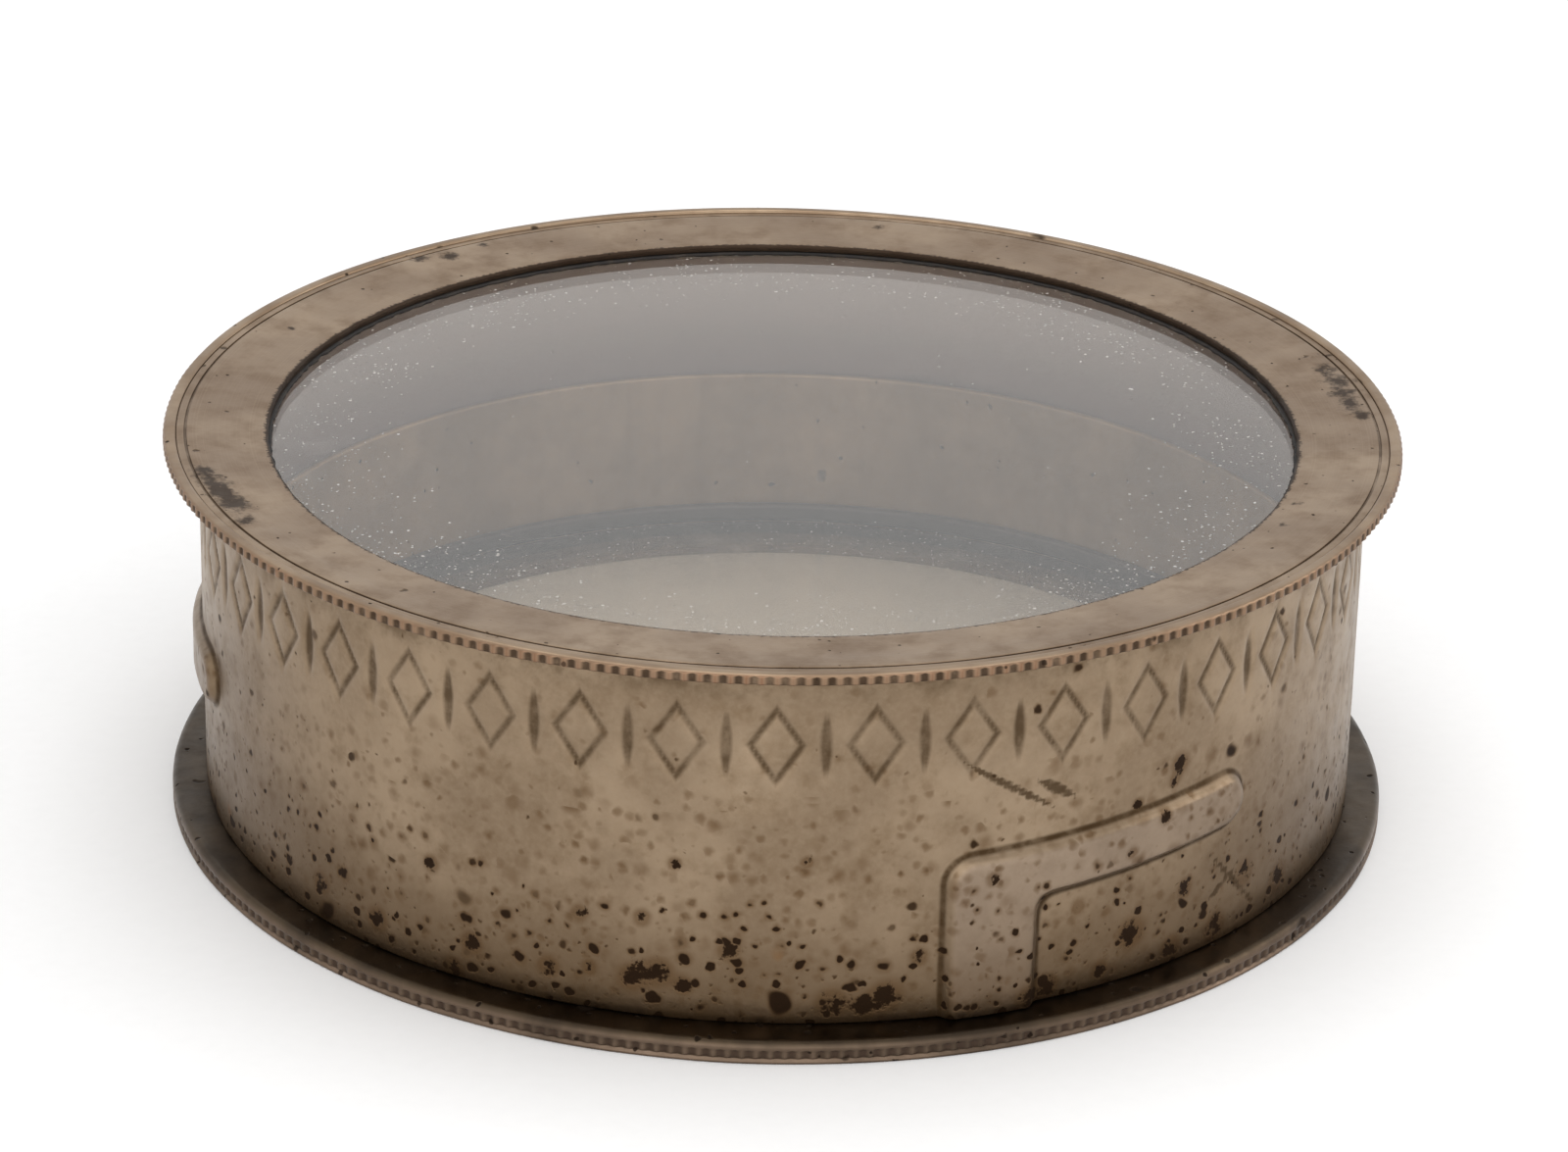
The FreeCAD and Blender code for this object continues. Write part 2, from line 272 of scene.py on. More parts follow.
def cap_rim():
    """Hemmed upper rim: underside, toothed edge, rolled bead, and the slot for the bezel."""
    corners = [
        (CAP_BORE + 0.05, FLANGE_UNDERSIDE + 0.02, 0),
        (BAND_RADIUS + 0.30, FLANGE_UNDERSIDE, 0),
        (RIM_RADIUS, FLANGE_UNDERSIDE, 0.10),
        (RIM_RADIUS, CAP_TOP, 0.22),
        (HEM_EDGE, CAP_TOP, 0.14),
        (HEM_EDGE, MARGIN_TOP, 0),
        (HEM_ROOT, MARGIN_TOP, 0),
        (HEM_ROOT, BEZEL_SEAT, 0),
        (CAP_BORE + 0.05, BEZEL_SEAT, 0),
    ]
    shape = outline(corners, step=0.14, arc_points=6)
    radius, height = shape[:, :1], shape[:, 1:]
    columns = CAP_TEETH * COLUMNS_PER_TOOTH
    angle = steps_round(columns)
    depth, valley = milling(columns, height, FLANGE_UNDERSIDE - 0.02, CAP_TOP - 0.11, 0.05)
    near_edge = smoothstep(*TOOTHED, radius)
    wear = 0.5 + 0.5 * wander(angle, height, seed=11, highest=40, waves=12)
    radius = radius - (depth * (0.75 + 0.25 * wear) + 0.02 * wear) * near_edge
    lift = 0.03 * wander(angle, radius, seed=12, highest=5) * (1 - near_edge)
    top_side = smoothstep(MARGIN_TOP, CAP_TOP, height)
    points = ring_points(radius, angle, height + (lift - 0.03) * top_side)
    return make_piece("cap_milled_rim", points,
                      attributes={"valley": valley * near_edge, "crest": near_edge * (1 - valley)})


cap_rim_piece = cap_rim()

# %% [markdown]
# ## Bayonet channels
#
# Each channel is a raised L in the band, pressed outwards from inside: a broad leg that
# opens at the bottom edge, and a narrower ramp that climbs gently to a round end. A signed
# distance gives it: how far a point is from the L's outline, negative inside. The leg is a
# box, the ramp is a capsule, and a smooth minimum fillets the inner corner. The same
# distance later tells the finish where dirt has gathered, so it is stored on the mesh.

# %% Channel shape
CHANNEL_COUNT = 3
CHANNEL_START, CHANNEL_SPAN = 20.3, 26.2
CHANNEL_MIDDLE = math.radians(CHANNEL_START + CHANNEL_SPAN / 2)
HALF_REACH = BAND_RADIUS * math.sin(math.radians(CHANNEL_SPAN / 2))
END_HEIGHT, RISE, CHANNEL_DEPTH = 7.70, 0.615, 0.45
RAMP_PLAY, LEG_PLAY = 0.70, 2.20
RAMP_HALF = (PIN_DIAMETER + RAMP_PLAY) / 2 + SHEET
LEG_HALF = (PIN_DIAMETER + LEG_PLAY) / 2 + SHEET
CHANNEL_FLANK = (-0.42, 0.12)


def channel_distance(angle, height):
    """Millimetres to the outline of the nearest channel, negative inside it.

    across = band radius x sin(angle from the channel's middle), flat as the CAD outline is.
    """
    sector = 2 * math.pi / CHANNEL_COUNT
    turn = (angle - CHANNEL_MIDDLE + sector / 2) % sector - sector / 2
    across = BAND_RADIUS * np.sin(turn)
    slope = RISE / (2 * HALF_REACH)
    start = -HALF_REACH - LEG_HALF + RAMP_HALF
    start_height = END_HEIGHT + (start - HALF_REACH) * slope
    leg = np.maximum(np.abs(across + HALF_REACH) - LEG_HALF, height - start_height)
    length = math.hypot(HALF_REACH - start, END_HEIGHT - start_height)
    direction = np.array([HALF_REACH - start, END_HEIGHT - start_height]) / length
    along = (across - start) * direction[0] + (height - start_height) * direction[1]
    along = np.clip(along, 0, length)
    ramp = np.hypot(across - start - along * direction[0],
                    height - start_height - along * direction[1]) - RAMP_HALF
    fillet = 1e-3 + 0.9 * smoothstep(-0.5, 1.0, across + HALF_REACH)
    blend = np.clip(0.5 + 0.5 * (ramp - leg) / fillet, 0, 1)
    return ramp * (1 - blend) + leg * blend - fillet * blend * (1 - blend)


print("channel depth", CHANNEL_DEPTH, "mm, ramp width", round(2 * RAMP_HALF, 2), "mm")

# %% [markdown]
# ## Stamped frieze
#
# The real band is stamped all round. Here that is a plain frieze of outlined lozenges with
# slim spindles between them, the same height and stroke as the old stamping. Both shapes
# are distances again: a lozenge is |x| / half width + |y| / half height = 1, and a spindle
# is a lens whose half width shrinks with the square of the height.

# %% Frieze shape
FRIEZE_MIDDLE, FRIEZE_HALF = 13.55, 1.55
FRIEZE_UNITS = 40
LOZENGE_HALF, SPINDLE_HALF = 1.05, 0.26
STROKE = 0.30


def frieze_distance(angle, height):
    """Millimetres to the edge of the nearest stamped stroke, negative inside it."""
    pitch = 2 * math.pi / FRIEZE_UNITS
    across = BAND_RADIUS * ((angle + pitch / 2) % pitch - pitch / 2)
    up = height - FRIEZE_MIDDLE
    steepness = math.hypot(1 / LOZENGE_HALF, 1 / FRIEZE_HALF)
    lozenge = (np.abs(across) / LOZENGE_HALF + np.abs(up) / FRIEZE_HALF - 1) / steepness
    beside = BAND_RADIUS * pitch / 2 - np.abs(across)
    spindle = beside - SPINDLE_HALF * (1 - (up / FRIEZE_HALF) ** 2)
    spindle = np.maximum(spindle, np.abs(up) - FRIEZE_HALF)
    return np.minimum(np.abs(lozenge) - STROKE / 2, spindle)


print("frieze pitch", round(2 * math.pi * BAND_RADIUS / FRIEZE_UNITS, 2), "mm")

# %% [markdown]
# ## Scratches and knocks
#
# A few scrapes cross the band beside the channel and have filled with dirt, there are some
# shallow dents, and the plating has failed in dark blotches, most of them low down. Each
# scrape is a straight line on the unrolled band, given by its two ends as angle and height,
# its width and its depth. Dents and blotches are round bells at an angle and height; the
# finish later makes the blotches ragged.

# %% Scratches and dents
SCRAPES = [
    # angle and height of one end, of the other end, width mm, depth mm
    (17.2, 12.4, 26.4, 9.8, 0.46, 0.035),
    (24.4, 11.2, 28.6, 10.1, 0.62, 0.020),
    (45.4, 5.3, 53.0, 1.8, 0.46, 0.030),
    (44.8, 3.0, 49.6, 4.3, 0.42, 0.025),
    (150.0, 8.0, 162.0, 11.0, 0.46, 0.030),
    (205.0, 4.0, 214.0, 9.0, 0.46, 0.030),
    (262.0, 10.8, 275.0, 9.6, 0.42, 0.020),
    (95.0, 3.4, 101.0, 7.0, 0.42, 0.020),
]
DENTS = [
    # angle, height, size mm, depth mm
    (-25.0, 8.0, 5.0, 0.050),
    (4.0, 6.5, 4.0, 0.035),
    (62.0, 10.5, 3.5, 0.045),
    (128.0, 6.0, 4.5, 0.050),
    (190.0, 9.5, 6.0, 0.060),
    (242.0, 5.0, 4.0, 0.045),
    (300.0, 9.0, 5.0, 0.050),
]
BLOTCHES = [
    # angle, height, radius mm
    (-48, 2.8, 0.55), (-40, 2.4, 0.60), (-33.5, 5.9, 0.40), (-29, 2.8, 0.55), (-31, 1.4, 0.50),
    (-21, 2.6, 0.50), (-17, 2.9, 0.35), (-13, 2.7, 0.60), (-10.5, 3.1, 0.70), (-8, 2.6, 0.40),
    (-4, 4.4, 0.50), (-12, 5.5, 0.38), (-18, 5.3, 0.40), (-9, 8.1, 0.30), (3, 8.4, 0.28),
    (5.5, 2.0, 0.70), (8.5, 1.8, 0.45), (10.5, 2.2, 0.75), (13.5, 3.9, 0.40), (20, 7.3, 0.32),
    (24, 1.5, 0.65), (26.5, 1.7, 0.50), (29.3, 5.0, 0.35), (32, 1.8, 0.45), (35.5, 3.1, 0.75),
    (40.5, 1.7, 0.60), (42, 4.3, 0.45), (46.5, 1.8, 0.70), (51, 3.6, 0.60), (57, 2.4, 0.70),
    (95, 2.2, 0.70), (112, 3.5, 0.50), (139, 1.9, 0.80), (155, 4.4, 0.45), (171, 2.6, 0.70),
    (188, 6.2, 0.40), (203, 2.0, 0.80), (226, 3.3, 0.55), (248, 1.7, 0.70), (272, 2.9, 0.60),
    (40.6, 10.2, 0.50), (39.9, 9.5, 0.28), (35.6, 9.0, 0.30), (38.2, 8.3, 0.34), (34.4, 7.1, 0.28),
]


def arc_from(angle, degrees):
    """Millimetres round the band from an angle in degrees, the short way."""
    turn = (angle - math.radians(degrees) + math.pi) % (2 * math.pi) - math.pi
    return BAND_RADIUS * turn


def scrape_field(angle, height):
    """Depth of the scrapes in mm and their mask from 0 to 1, by the distance to each line.

    half width = width x (0.35 + 2.6 s (1 - s)) at the share s of its length, so it tapers.
    """
    depth_field = np.zeros(np.broadcast_shapes(angle.shape, height.shape))
    mask = np.zeros_like(depth_field)
    for angle_a, height_a, angle_b, height_b, width, depth in SCRAPES:
        across, up = arc_from(angle, angle_a), height - height_a
        run = BAND_RADIUS * math.radians(angle_b - angle_a)
        rise = height_b - height_a
        share = np.clip((across * run + up * rise) / (run ** 2 + rise ** 2), 0, 1)
        distance = np.hypot(across - share * run, up - share * rise)
        half = width * (0.35 + 2.6 * share * (1 - share))
        inside = 1 - smoothstep(half * 0.2, half * 0.8, distance)
        depth_field = np.maximum(depth_field, depth * inside)
        mask = np.maximum(mask, inside)
    return depth_field, mask


def dent_field(angle, height):
    """Depth of all dents in mm: each is a bell, exp(-(distance / size)^2)."""
    return sum(depth * np.exp(-(arc_from(angle, place) ** 2 + (height - level) ** 2) / size ** 2)
               for place, level, size, depth in DENTS)


def blotch_field(angle, height):
    """Failed plating, about 1 in the middle of each blotch: the sum of their bells."""
    return sum(np.exp(-(arc_from(angle, place) ** 2 + (height - level) ** 2) / size ** 2)
               for place, level, size in BLOTCHES)


print(len(SCRAPES), "scrapes,", len(DENTS), "dents and", len(BLOTCHES), "blotches")

# %% [markdown]
# ## The band
#
# The cap's band is thin sheet, so its surface has an outside, a bottom edge and an inside.
# Rows are close together only where something happens: at the channel's long edges and in
# the frieze. The embossing shows on the inside as well, as hollow tracks for the pins, one
# sheet's thickness smaller all round. The inside has few rows, so the tracks are coarse,
# and a pin's nose cuts up to 0.2 mm into their skin, out of sight.

# %% Cap band
BAND_COLUMNS = 1000


def stretch(low, high, step):
    """Heights from low up to but not including high, evenly spaced near the given step."""
    return np.linspace(low, high, max(int(round((high - low) / step)), 1), endpoint=False)


def band_outline():
    """Radius, height and side (1 outside, 0 inside) of the band's closed outline."""
    bend = 0.25
    outside = np.concatenate([
        stretch(CAP_BOTTOM + 0.06, 5.6, 0.33), stretch(5.6, 6.8, 0.13), stretch(6.8, 8.0, 0.30),
        stretch(8.0, 9.2, 0.13), stretch(9.2, 11.7, 0.20), stretch(11.7, 15.3, 0.145),
        stretch(15.3, FLANGE_UNDERSIDE - bend, 0.35)])
    turn = np.linspace(0, math.pi / 2, 4)
    fillet_radius = BAND_RADIUS + bend - bend * np.cos(turn)
    fillet_height = FLANGE_UNDERSIDE - bend + bend * np.sin(turn)
    top = np.array([[BAND_RADIUS + 0.40, FLANGE_UNDERSIDE + 0.02],
                    [BAND_RADIUS, BEZEL_SEAT - 0.03], [CAP_BORE, BEZEL_SEAT - 0.03]])
    inside = np.array([15.6, 12.0, 9.6, 9.0, 8.4, 7.9, 6.9, 6.3, 5.7, 4.0, CAP_BOTTOM + 0.06])
    edge = np.array([[CAP_BORE + 0.05, CAP_BOTTOM], [BAND_RADIUS - 0.05, CAP_BOTTOM]])
    radius = np.concatenate([np.full(len(outside), BAND_RADIUS), fillet_radius, top[:, 0],
                             np.full(len(inside), CAP_BORE), edge[:, 0]])
    height = np.concatenate([outside, fillet_height, top[:, 1], inside, edge[:, 1]])
    side = np.concatenate([np.ones(len(outside) + 4), [1, 1, 0], np.zeros(len(inside)), [0, 1]])
    return radius[:, None], height[:, None], side[:, None]


def cap_band():
    """Band surface: outline radius + channel + unevenness - frieze - scrapes - dents."""
    radius, height, side = band_outline()
    angle = steps_round(BAND_COLUMNS)
    channel = channel_distance(angle, height)
    frieze = frieze_distance(angle, height)
    raised = CHANNEL_DEPTH * (1 - smoothstep(*CHANNEL_FLANK, channel))
    track = CHANNEL_DEPTH * (1 - smoothstep(*CHANNEL_FLANK, channel + SHEET))
    scrape, mask = scrape_field(angle, height)
    below_rim = 1 - smoothstep(FLANGE_UNDERSIDE - 1.2, FLANGE_UNDERSIDE - 0.3, height)
    uneven = 0.022 * wander(angle, height, seed=21) + 0.010 * wander(angle, height, 22, 14, 26, 1.6)
    stamped = 0.085 * (1 - smoothstep(-0.13, 0.16, frieze))
    edge_curl = 0.05 * smoothstep(CAP_BOTTOM + 0.9, CAP_BOTTOM, height)
    outer = raised + uneven * below_rim - stamped - scrape - dent_field(angle, height) * below_rim
    inner = track + uneven * below_rim * 0.5
    radius = radius + side * (outer - edge_curl * 0.4) + (1 - side) * inner
    points = ring_points(radius, angle, height)
    pitting = pit_density(angle, height)
    return make_piece("cap_band", points, attributes={
        "channel_mm": channel, "frieze_mm": frieze, "scraped": mask * side,
        "pitting": pitting * side, "blotch": blotch_field(angle, height) * side, "outside": side})


def pit_density(angle, height):
    """How thickly corrosion pits lie, 0 to 1: heavy low on the band, and in some sectors."""
    low = 1 - smoothstep(CAP_BOTTOM, 9.5, height)
    sectors = 0.5 + 0.5 * wander(angle, height, seed=31, waves=5, highest=5, reach=0.2)
    right = np.exp(-(arc_from(angle, 52.0) / 12.0) ** 2)
    left = np.exp(-(arc_from(angle, -60.0) / 9.5) ** 2)
    front = np.exp(-(arc_from(angle, -5.0) / 10.0) ** 2)
    clean_top = 1 - smoothstep(9.0, 12.5, height)
    density = 0.10 + 0.75 * low ** 1.6 + 0.35 * right * (0.4 + 0.6 * clean_top)
    density = density + 0.18 * front * clean_top + 0.55 * left * (0.6 + 0.4 * clean_top)
    return np.clip(density * (0.55 + 0.75 * sectors), 0, 1)


cap_band_piece = cap_band()

# %% [markdown]
# ## Bezel, seals and hoops
#
# The bezel is a pressed ring whose margin is gripped in the rim's hem. From outside in it
# has a narrow bead, a groove, and a smooth slope down to the sight opening. Under its lip
# lies a black packing ring, and under that the glass.

# %% Cap bezel
RING_COLUMNS = 720


def cap_bezel():
    """Pressed ring: grip in the hem, bead, groove, slope, and a rounded lip at the sight."""
    bead_outer = HEM_EDGE - 0.02
    bead_inner = bead_outer - 0.34
    groove_inner = bead_inner - 0.10
    slope_drop = 0.22
    corners = [
        (SIGHT_RADIUS, LIP_UNDERSIDE, 0.03),
        (CAP_BORE - 0.08, BEZEL_SEAT - 0.03, 0),
        (CAP_BORE - 0.08, BEZEL_SEAT, 0),
        (GRIP_RADIUS, BEZEL_SEAT, 0),
        (GRIP_RADIUS, MARGIN_TOP, 0),
        (bead_outer, MARGIN_TOP, 0),
        (bead_outer, BEZEL_TOP - 0.01, 0.028),
        (bead_inner, BEZEL_TOP - 0.01, 0.028),
        (bead_inner, MARGIN_TOP - 0.03, 0.01),
        (groove_inner, MARGIN_TOP - 0.03, 0.01),
        (groove_inner, BEZEL_TOP, 0.03),
        (SIGHT_RADIUS, BEZEL_TOP - slope_drop, 0.11),
    ]
    shape = outline(corners, step=0.30, arc_points=5)
    radius, height = shape[:, :1], shape[:, 1:]
    angle = steps_round(RING_COLUMNS)
    free = 1 - smoothstep(CAP_BORE - 0.6, CAP_BORE, radius)
    sag = 0.020 * wander(angle, radius, seed=41, highest=6) - 0.012
    ragged = 0.018 * wander(angle, height, seed=42, waves=16, highest=90)
    lip = 1 - smoothstep(SIGHT_RADIUS, SIGHT_RADIUS + 0.25, radius)
    points = ring_points(radius + ragged * lip, angle, height + sag * free * 0.8)
    in_groove = (radius > groove_inner - 0.01) & (radius < bead_inner + 0.01)
    return make_piece("cap_bezel_ring", points, attributes={
        "lip": lip, "stain": stain_field(angle, radius),
        "groove": np.where(in_groove | (radius > bead_outer - 0.01), 1.0, 0.0)})


STAINS = [
    # angle, radius, size mm
    (-74, 25.6, 0.60), (-71, 25.5, 0.85), (-68, 25.4, 0.75), (-65, 25.3, 0.85),
    (-61, 25.5, 0.60), (-114, 24.5, 0.30), (-138, 25.8, 0.50), (-141, 25.3, 0.60),
    (-146, 25.6, 0.40), (94, 25.5, 0.55), (97, 25.3, 0.60), (100, 25.3, 0.75),
    (103.5, 25.5, 0.80), (107, 25.4, 0.65), (70, 23.2, 0.30), (64, 23.4, 0.25),
    (170, 25.2, 0.35),
]


def stain_field(angle, radius):
    """Dark stains on the bezel: a sum of bells, about 1 in the middle of each."""
    return sum(np.exp(-((radius * np.sin(angle - math.radians(place))) ** 2
                        + (radius * np.cos(angle - math.radians(place)) - reach) ** 2) / size ** 2)
               for place, reach, size in STAINS)


cap_bezel_piece = cap_bezel()

# %% [markdown]
# The packing rings are black and soft, and have gone ragged along their inner edges. Many
# fine sine waves, added to the inner radius, give that edge.

# %% Packing rings
def packing_ring(name, node, seed, inner):
    """Flat soft ring inside a CAD node's box, with a slightly ragged inner edge."""
    outer, bottom, top = node_size(node)
    corners = [(inner, bottom, 0.05), (outer, bottom, 0.03), (outer, top, 0.03), (inner, top, 0.05)]
    shape = outline(corners, step=0.5, arc_points=3)
    radius, height = shape[:, :1], shape[:, 1:]
    angle = steps_round(RING_COLUMNS)
    at_sight = 1 - smoothstep(inner, inner + 0.3, radius)
    frayed = 0.10 * np.abs(wander(angle, height, seed, waves=24, highest=160))
    radius = radius + (frayed - 0.01) * at_sight
    return make_piece(name, ring_points(radius, angle, height))


top_packing = packing_ring("top_packing_ring", "top_glass_seal", 51, SIGHT_RADIUS - 0.16)
base_packing = packing_ring("base_packing_ring", "base_glass_seal", 52, SIGHT_RADIUS + 0.06)

# %% [markdown]
# A split spring hoop snaps in behind each glass. It is a strip bent to a ring a little too
# large, so that it presses outwards, and its ends nearly meet at the front. The outline is
# carried round as before, but the ring stops short on both sides of the gap and gets a
# flat end there.

# %% Spring hoops
HOOP_THICKNESS = 0.45
HOOP_GAP = 2.0


def spring_hoop(name, node):
    """Strip with two rounded inner edges, swept from one end of the gap to the other."""
    low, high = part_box(node)
    outer, bottom, top = high.y / MM, low.z / MM, high.z / MM
    inner = outer - HOOP_THICKNESS
    corners = [(inner, bottom, 0.15), (outer, bottom, 0.02), (outer, top, 0.02), (inner, top, 0.15)]
    shape = outline(corners, step=0.3, arc_points=4)
    half_gap = math.asin(HOOP_GAP / 2 / outer)
    angle = np.linspace(half_gap, 2 * math.pi - half_gap, 480)[None, :]
    return make_piece(name, ring_points(shape[:, :1], angle, shape[:, 1:]), wrap_columns=False)


cap_hoop = spring_hoop("cap_spring_hoop", "cap_glass_hoop")
base_hoop = spring_hoop("base_spring_hoop", "base_glass_hoop")

# %% [markdown]
# ## Glasses
#
# Each glass is a flat disc with ground edges. The outline starts and ends on the axis, and
# the points that meet there are merged, so that the disc is one closed skin.

# %% Flat glasses
GLASS_BEVEL = 0.20


def merge_poles(piece):
    """Joins the points that meet on the axis and removes the faces with no area."""
    mesh = bmesh.new()
    mesh.from_mesh(piece.data)
    bmesh.ops.remove_doubles(mesh, verts=mesh.verts, dist=1e-7)
    bmesh.ops.dissolve_degenerate(mesh, edges=mesh.edges, dist=1e-8)
    mesh.to_mesh(piece.data)
    mesh.free()
    piece.data.shade_smooth()


def flat_glass(name, node):
    """Disc from the axis out along the bottom, over two bevels, and back along the top."""
    outer, bottom, top = node_size(node)
    flat = outer - GLASS_BEVEL
    reach = np.array([0, 0.25, 0.5, 0.75, 0.95, 0.995, 1.0]) * flat
    radius = np.concatenate([reach, [flat + 0.03, outer - 0.02, outer, outer, outer - 0.02,
                                     flat + 0.03], reach[::-1]])
    height = np.concatenate([np.full(7, bottom), [bottom + 0.02, bottom + 0.18, bottom + 0.22,
                             top - 0.22, top - 0.18, top - 0.02], np.full(7, top)])
    points = ring_points(radius[:, None], steps_round(360), height[:, None])
    piece = make_piece(name, points, wrap_rows=False)
    merge_poles(piece)
    return piece


top_glass_piece = flat_glass("top_sight_glass", "top_glass")
base_glass_piece = flat_glass("base_sight_glass", "base_glass")

# %% [markdown]
# ## Base
#
# The base ring is folded over the sleeve's foot. Its milling covers the middle of the
# edge, with a narrow plain step under it and a rolled shoulder above.

# %% Base ring
def base_ring():
    """Sight lip, plain step, milled edge, rolled shoulder, and the fold over the foot."""
    leaf_edge = SLEEVE_OUTER + 0.04
    foot_space, foot_top = FOOT_RADIUS + 0.02, FOOT_BOTTOM + BASE_SHEET
    shoulder = 0.34
    corners = [
        (SIGHT_RADIUS, 0, 0.08),
        (RIM_RADIUS, 0, 0.10),
        (RIM_RADIUS, BASE_RIM_TOP, shoulder),
        (leaf_edge, BASE_RIM_TOP, 0.03),
        (leaf_edge, foot_top, 0),
        (foot_space, foot_top, 0),
        (foot_space, FOOT_BOTTOM, 0),
        (SIGHT_RADIUS, FOOT_BOTTOM, 0.08),
    ]
    shape = outline(corners, step=0.30, arc_points=6)
    edge = np.linspace(0.10, BASE_RIM_TOP - shoulder, 12)
    on_edge = np.isclose(shape[:, 0], RIM_RADIUS, atol=1e-6)
    first = int(np.argmax(on_edge))
    last = len(on_edge) - int(np.argmax(on_edge[::-1])) - 1
    side = np.stack([np.full(len(edge), RIM_RADIUS), edge], axis=1)
    shape = np.concatenate([shape[:first], side, shape[last + 1:]])
    radius, height = shape[:, :1], shape[:, 1:]
    columns = BASE_TEETH * COLUMNS_PER_TOOTH
    angle = steps_round(columns)
    depth, valley = milling(columns, height, 0.25, BASE_RIM_TOP - 0.42, 0.05)
    near_edge = smoothstep(*TOOTHED, radius)
    wear = 0.5 + 0.5 * wander(angle, height, seed=61, highest=30, waves=12)
    step_in = 0.10 * np.exp(-((height - 0.22) / 0.045) ** 2)
    radius = radius - (depth * (0.8 + 0.2 * wear) + step_in + 0.02 * wear) * near_edge
    above = smoothstep(0.5, BASE_RIM_TOP, height)
    ripple = 0.02 * wander(angle, radius, seed=62, highest=7) - 0.015
    points = ring_points(radius, angle, height + ripple * above)
    rubbed = near_edge * smoothstep(BASE_RIM_TOP - 0.05, BASE_RIM_TOP - 0.35, height)
    return make_piece("base_milled_ring", points, attributes={
        "valley": valley * near_edge, "crest": rubbed * (1 - valley)})


base_ring_piece = base_ring()

# %% [markdown]
# The sleeve is plain thin sheet with a softened top edge, turned out at its foot, and the
# pins are pressed through it. It is never quite round, so its wall wanders a little.

# %% Base sleeve
def base_sleeve():
    """Tube with a turned-out foot: straight walls, softened top edge, slight unevenness."""
    corners = [
        (SLEEVE_BORE, FOOT_BOTTOM, 0),
        (FOOT_RADIUS, FOOT_BOTTOM, 0),
        (FOOT_RADIUS, FOOT_BOTTOM + BASE_SHEET, 0),
        (SLEEVE_OUTER, FOOT_BOTTOM + BASE_SHEET, 0),
        (SLEEVE_OUTER, SLEEVE_TOP, 0.12),
        (SLEEVE_BORE, SLEEVE_TOP, 0.12),
    ]
    shape = outline(corners, step=0.6, arc_points=4)
    radius, height = shape[:, :1], shape[:, 1:]
    angle = steps_round(RING_COLUMNS)
    free = smoothstep(1.2, 4.0, height)
    uneven = 0.015 * wander(angle, height, seed=71)
    points = ring_points(radius + uneven * free, angle, height - 0.015 * free)
    return make_piece("base_inner_sleeve", points)


base_sleeve_piece = base_sleeve()

# %% [markdown]
# A pin is a little round peg whose axis points outwards from the case. Its outline runs
# from the axis at the flush inner end, along the shank and over a rounded nose. It is
# turned about its own axis, and its frame is built from the direction its CAD box gives.

# %% Bayonet pins
PIN_RADIUS = PIN_DIAMETER / 2


def bayonet_pin(name, node):
    """Peg of revolution along a radial axis: point = centre + out * s + r * circle."""
    low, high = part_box(node)
    middle = (np.array(low) + np.array(high)) / 2 / MM
    out = unit([middle[0], middle[1], 0.0])
    side = np.array([-out[1], out[0], 0.0])
    up = np.array([0.0, 0.0, 1.0])
    start = SLEEVE_BORE
    tip = CAP_BORE + CHANNEL_DEPTH - 0.08
    nose = np.linspace(0, math.pi / 2, 7)
    rounding = 0.14
    along = np.concatenate([[start, start], [start + 0.3],
                            tip - rounding + rounding * np.sin(nose), [tip]])
    radius = np.concatenate([[0, PIN_RADIUS], [PIN_RADIUS],
                             PIN_RADIUS - rounding + rounding * np.cos(nose), [0]])
    turn = steps_round(48)
    circle = np.cos(turn)[..., None] * side + np.sin(turn)[..., None] * up
    centre = np.array([0.0, 0.0, middle[2]])
    points = centre + along[:, None, None] * out + radius[:, None, None] * circle
    piece = make_piece(name, points * MM, wrap_rows=False)
    merge_poles(piece)
    return piece


pins = [bayonet_pin(f"pin_{index}", f"bayonet_pin_{index}") for index in (1, 2, 3)]

# %% [markdown]
# ## Building finishes from nodes
#
# Colours are written as hex values, as a colour picker shows them, and one function turns
# them to the linear values that the renderer mixes. One other function adds a node. The
# settings that come back often have names: EASED is a smooth step between two values, and
# PLUS, LESS, TIMES and MOST keep their result between 0 and 1. All patterns read Object
# coordinates in millimetres, so every scale below is per millimetre.

# %% Colour and node helpers
EASED = {"interpolation_type": "SMOOTHSTEP"}
COLOURS = {"data_type": "RGBA"}
PLUS = {"operation": "ADD", "use_clamp": True}
LESS = {"operation": "SUBTRACT", "use_clamp": True}
TIMES = {"operation": "MULTIPLY", "use_clamp": True}
MOST = {"operation": "MAXIMUM", "use_clamp": True}


def linear(code):
    """sRGB hex colour as linear red, green, blue and an alpha of 1."""
    parts = np.array([int(code[place:place + 2], 16) for place in (0, 2, 4)]) / 255
    parts = np.where(parts <= 0.04045, parts / 12.92, ((parts + 0.055) / 1.055) ** 2.4)
    return (*parts.tolist(), 1.0)


def add(tree, kind, *inputs, **settings):
    """Adds one node. settings are its properties. inputs are numbers, colours, sockets or
    nodes (their first output in use), in the node's order or in one dictionary by name."""
    node = tree.nodes.new("ShaderNode" + kind)
    for name, value in settings.items():
        setattr(node, name, value)
    in_use = [socket for socket in node.inputs if socket.enabled]
    if inputs and isinstance(inputs[0], dict):
        by_name = {socket.name: socket for socket in in_use}
        pairs = [(by_name[name], value) for name, value in inputs[0].items()]
    else:
        pairs = zip(in_use, inputs)
    for target, value in pairs:
        if isinstance(value, bpy.types.Node):
            value = next(socket for socket in value.outputs if socket.enabled)
        if isinstance(value, bpy.types.NodeSocket):
            tree.links.new(value, target)
        else:
            target.default_value = value
    return node


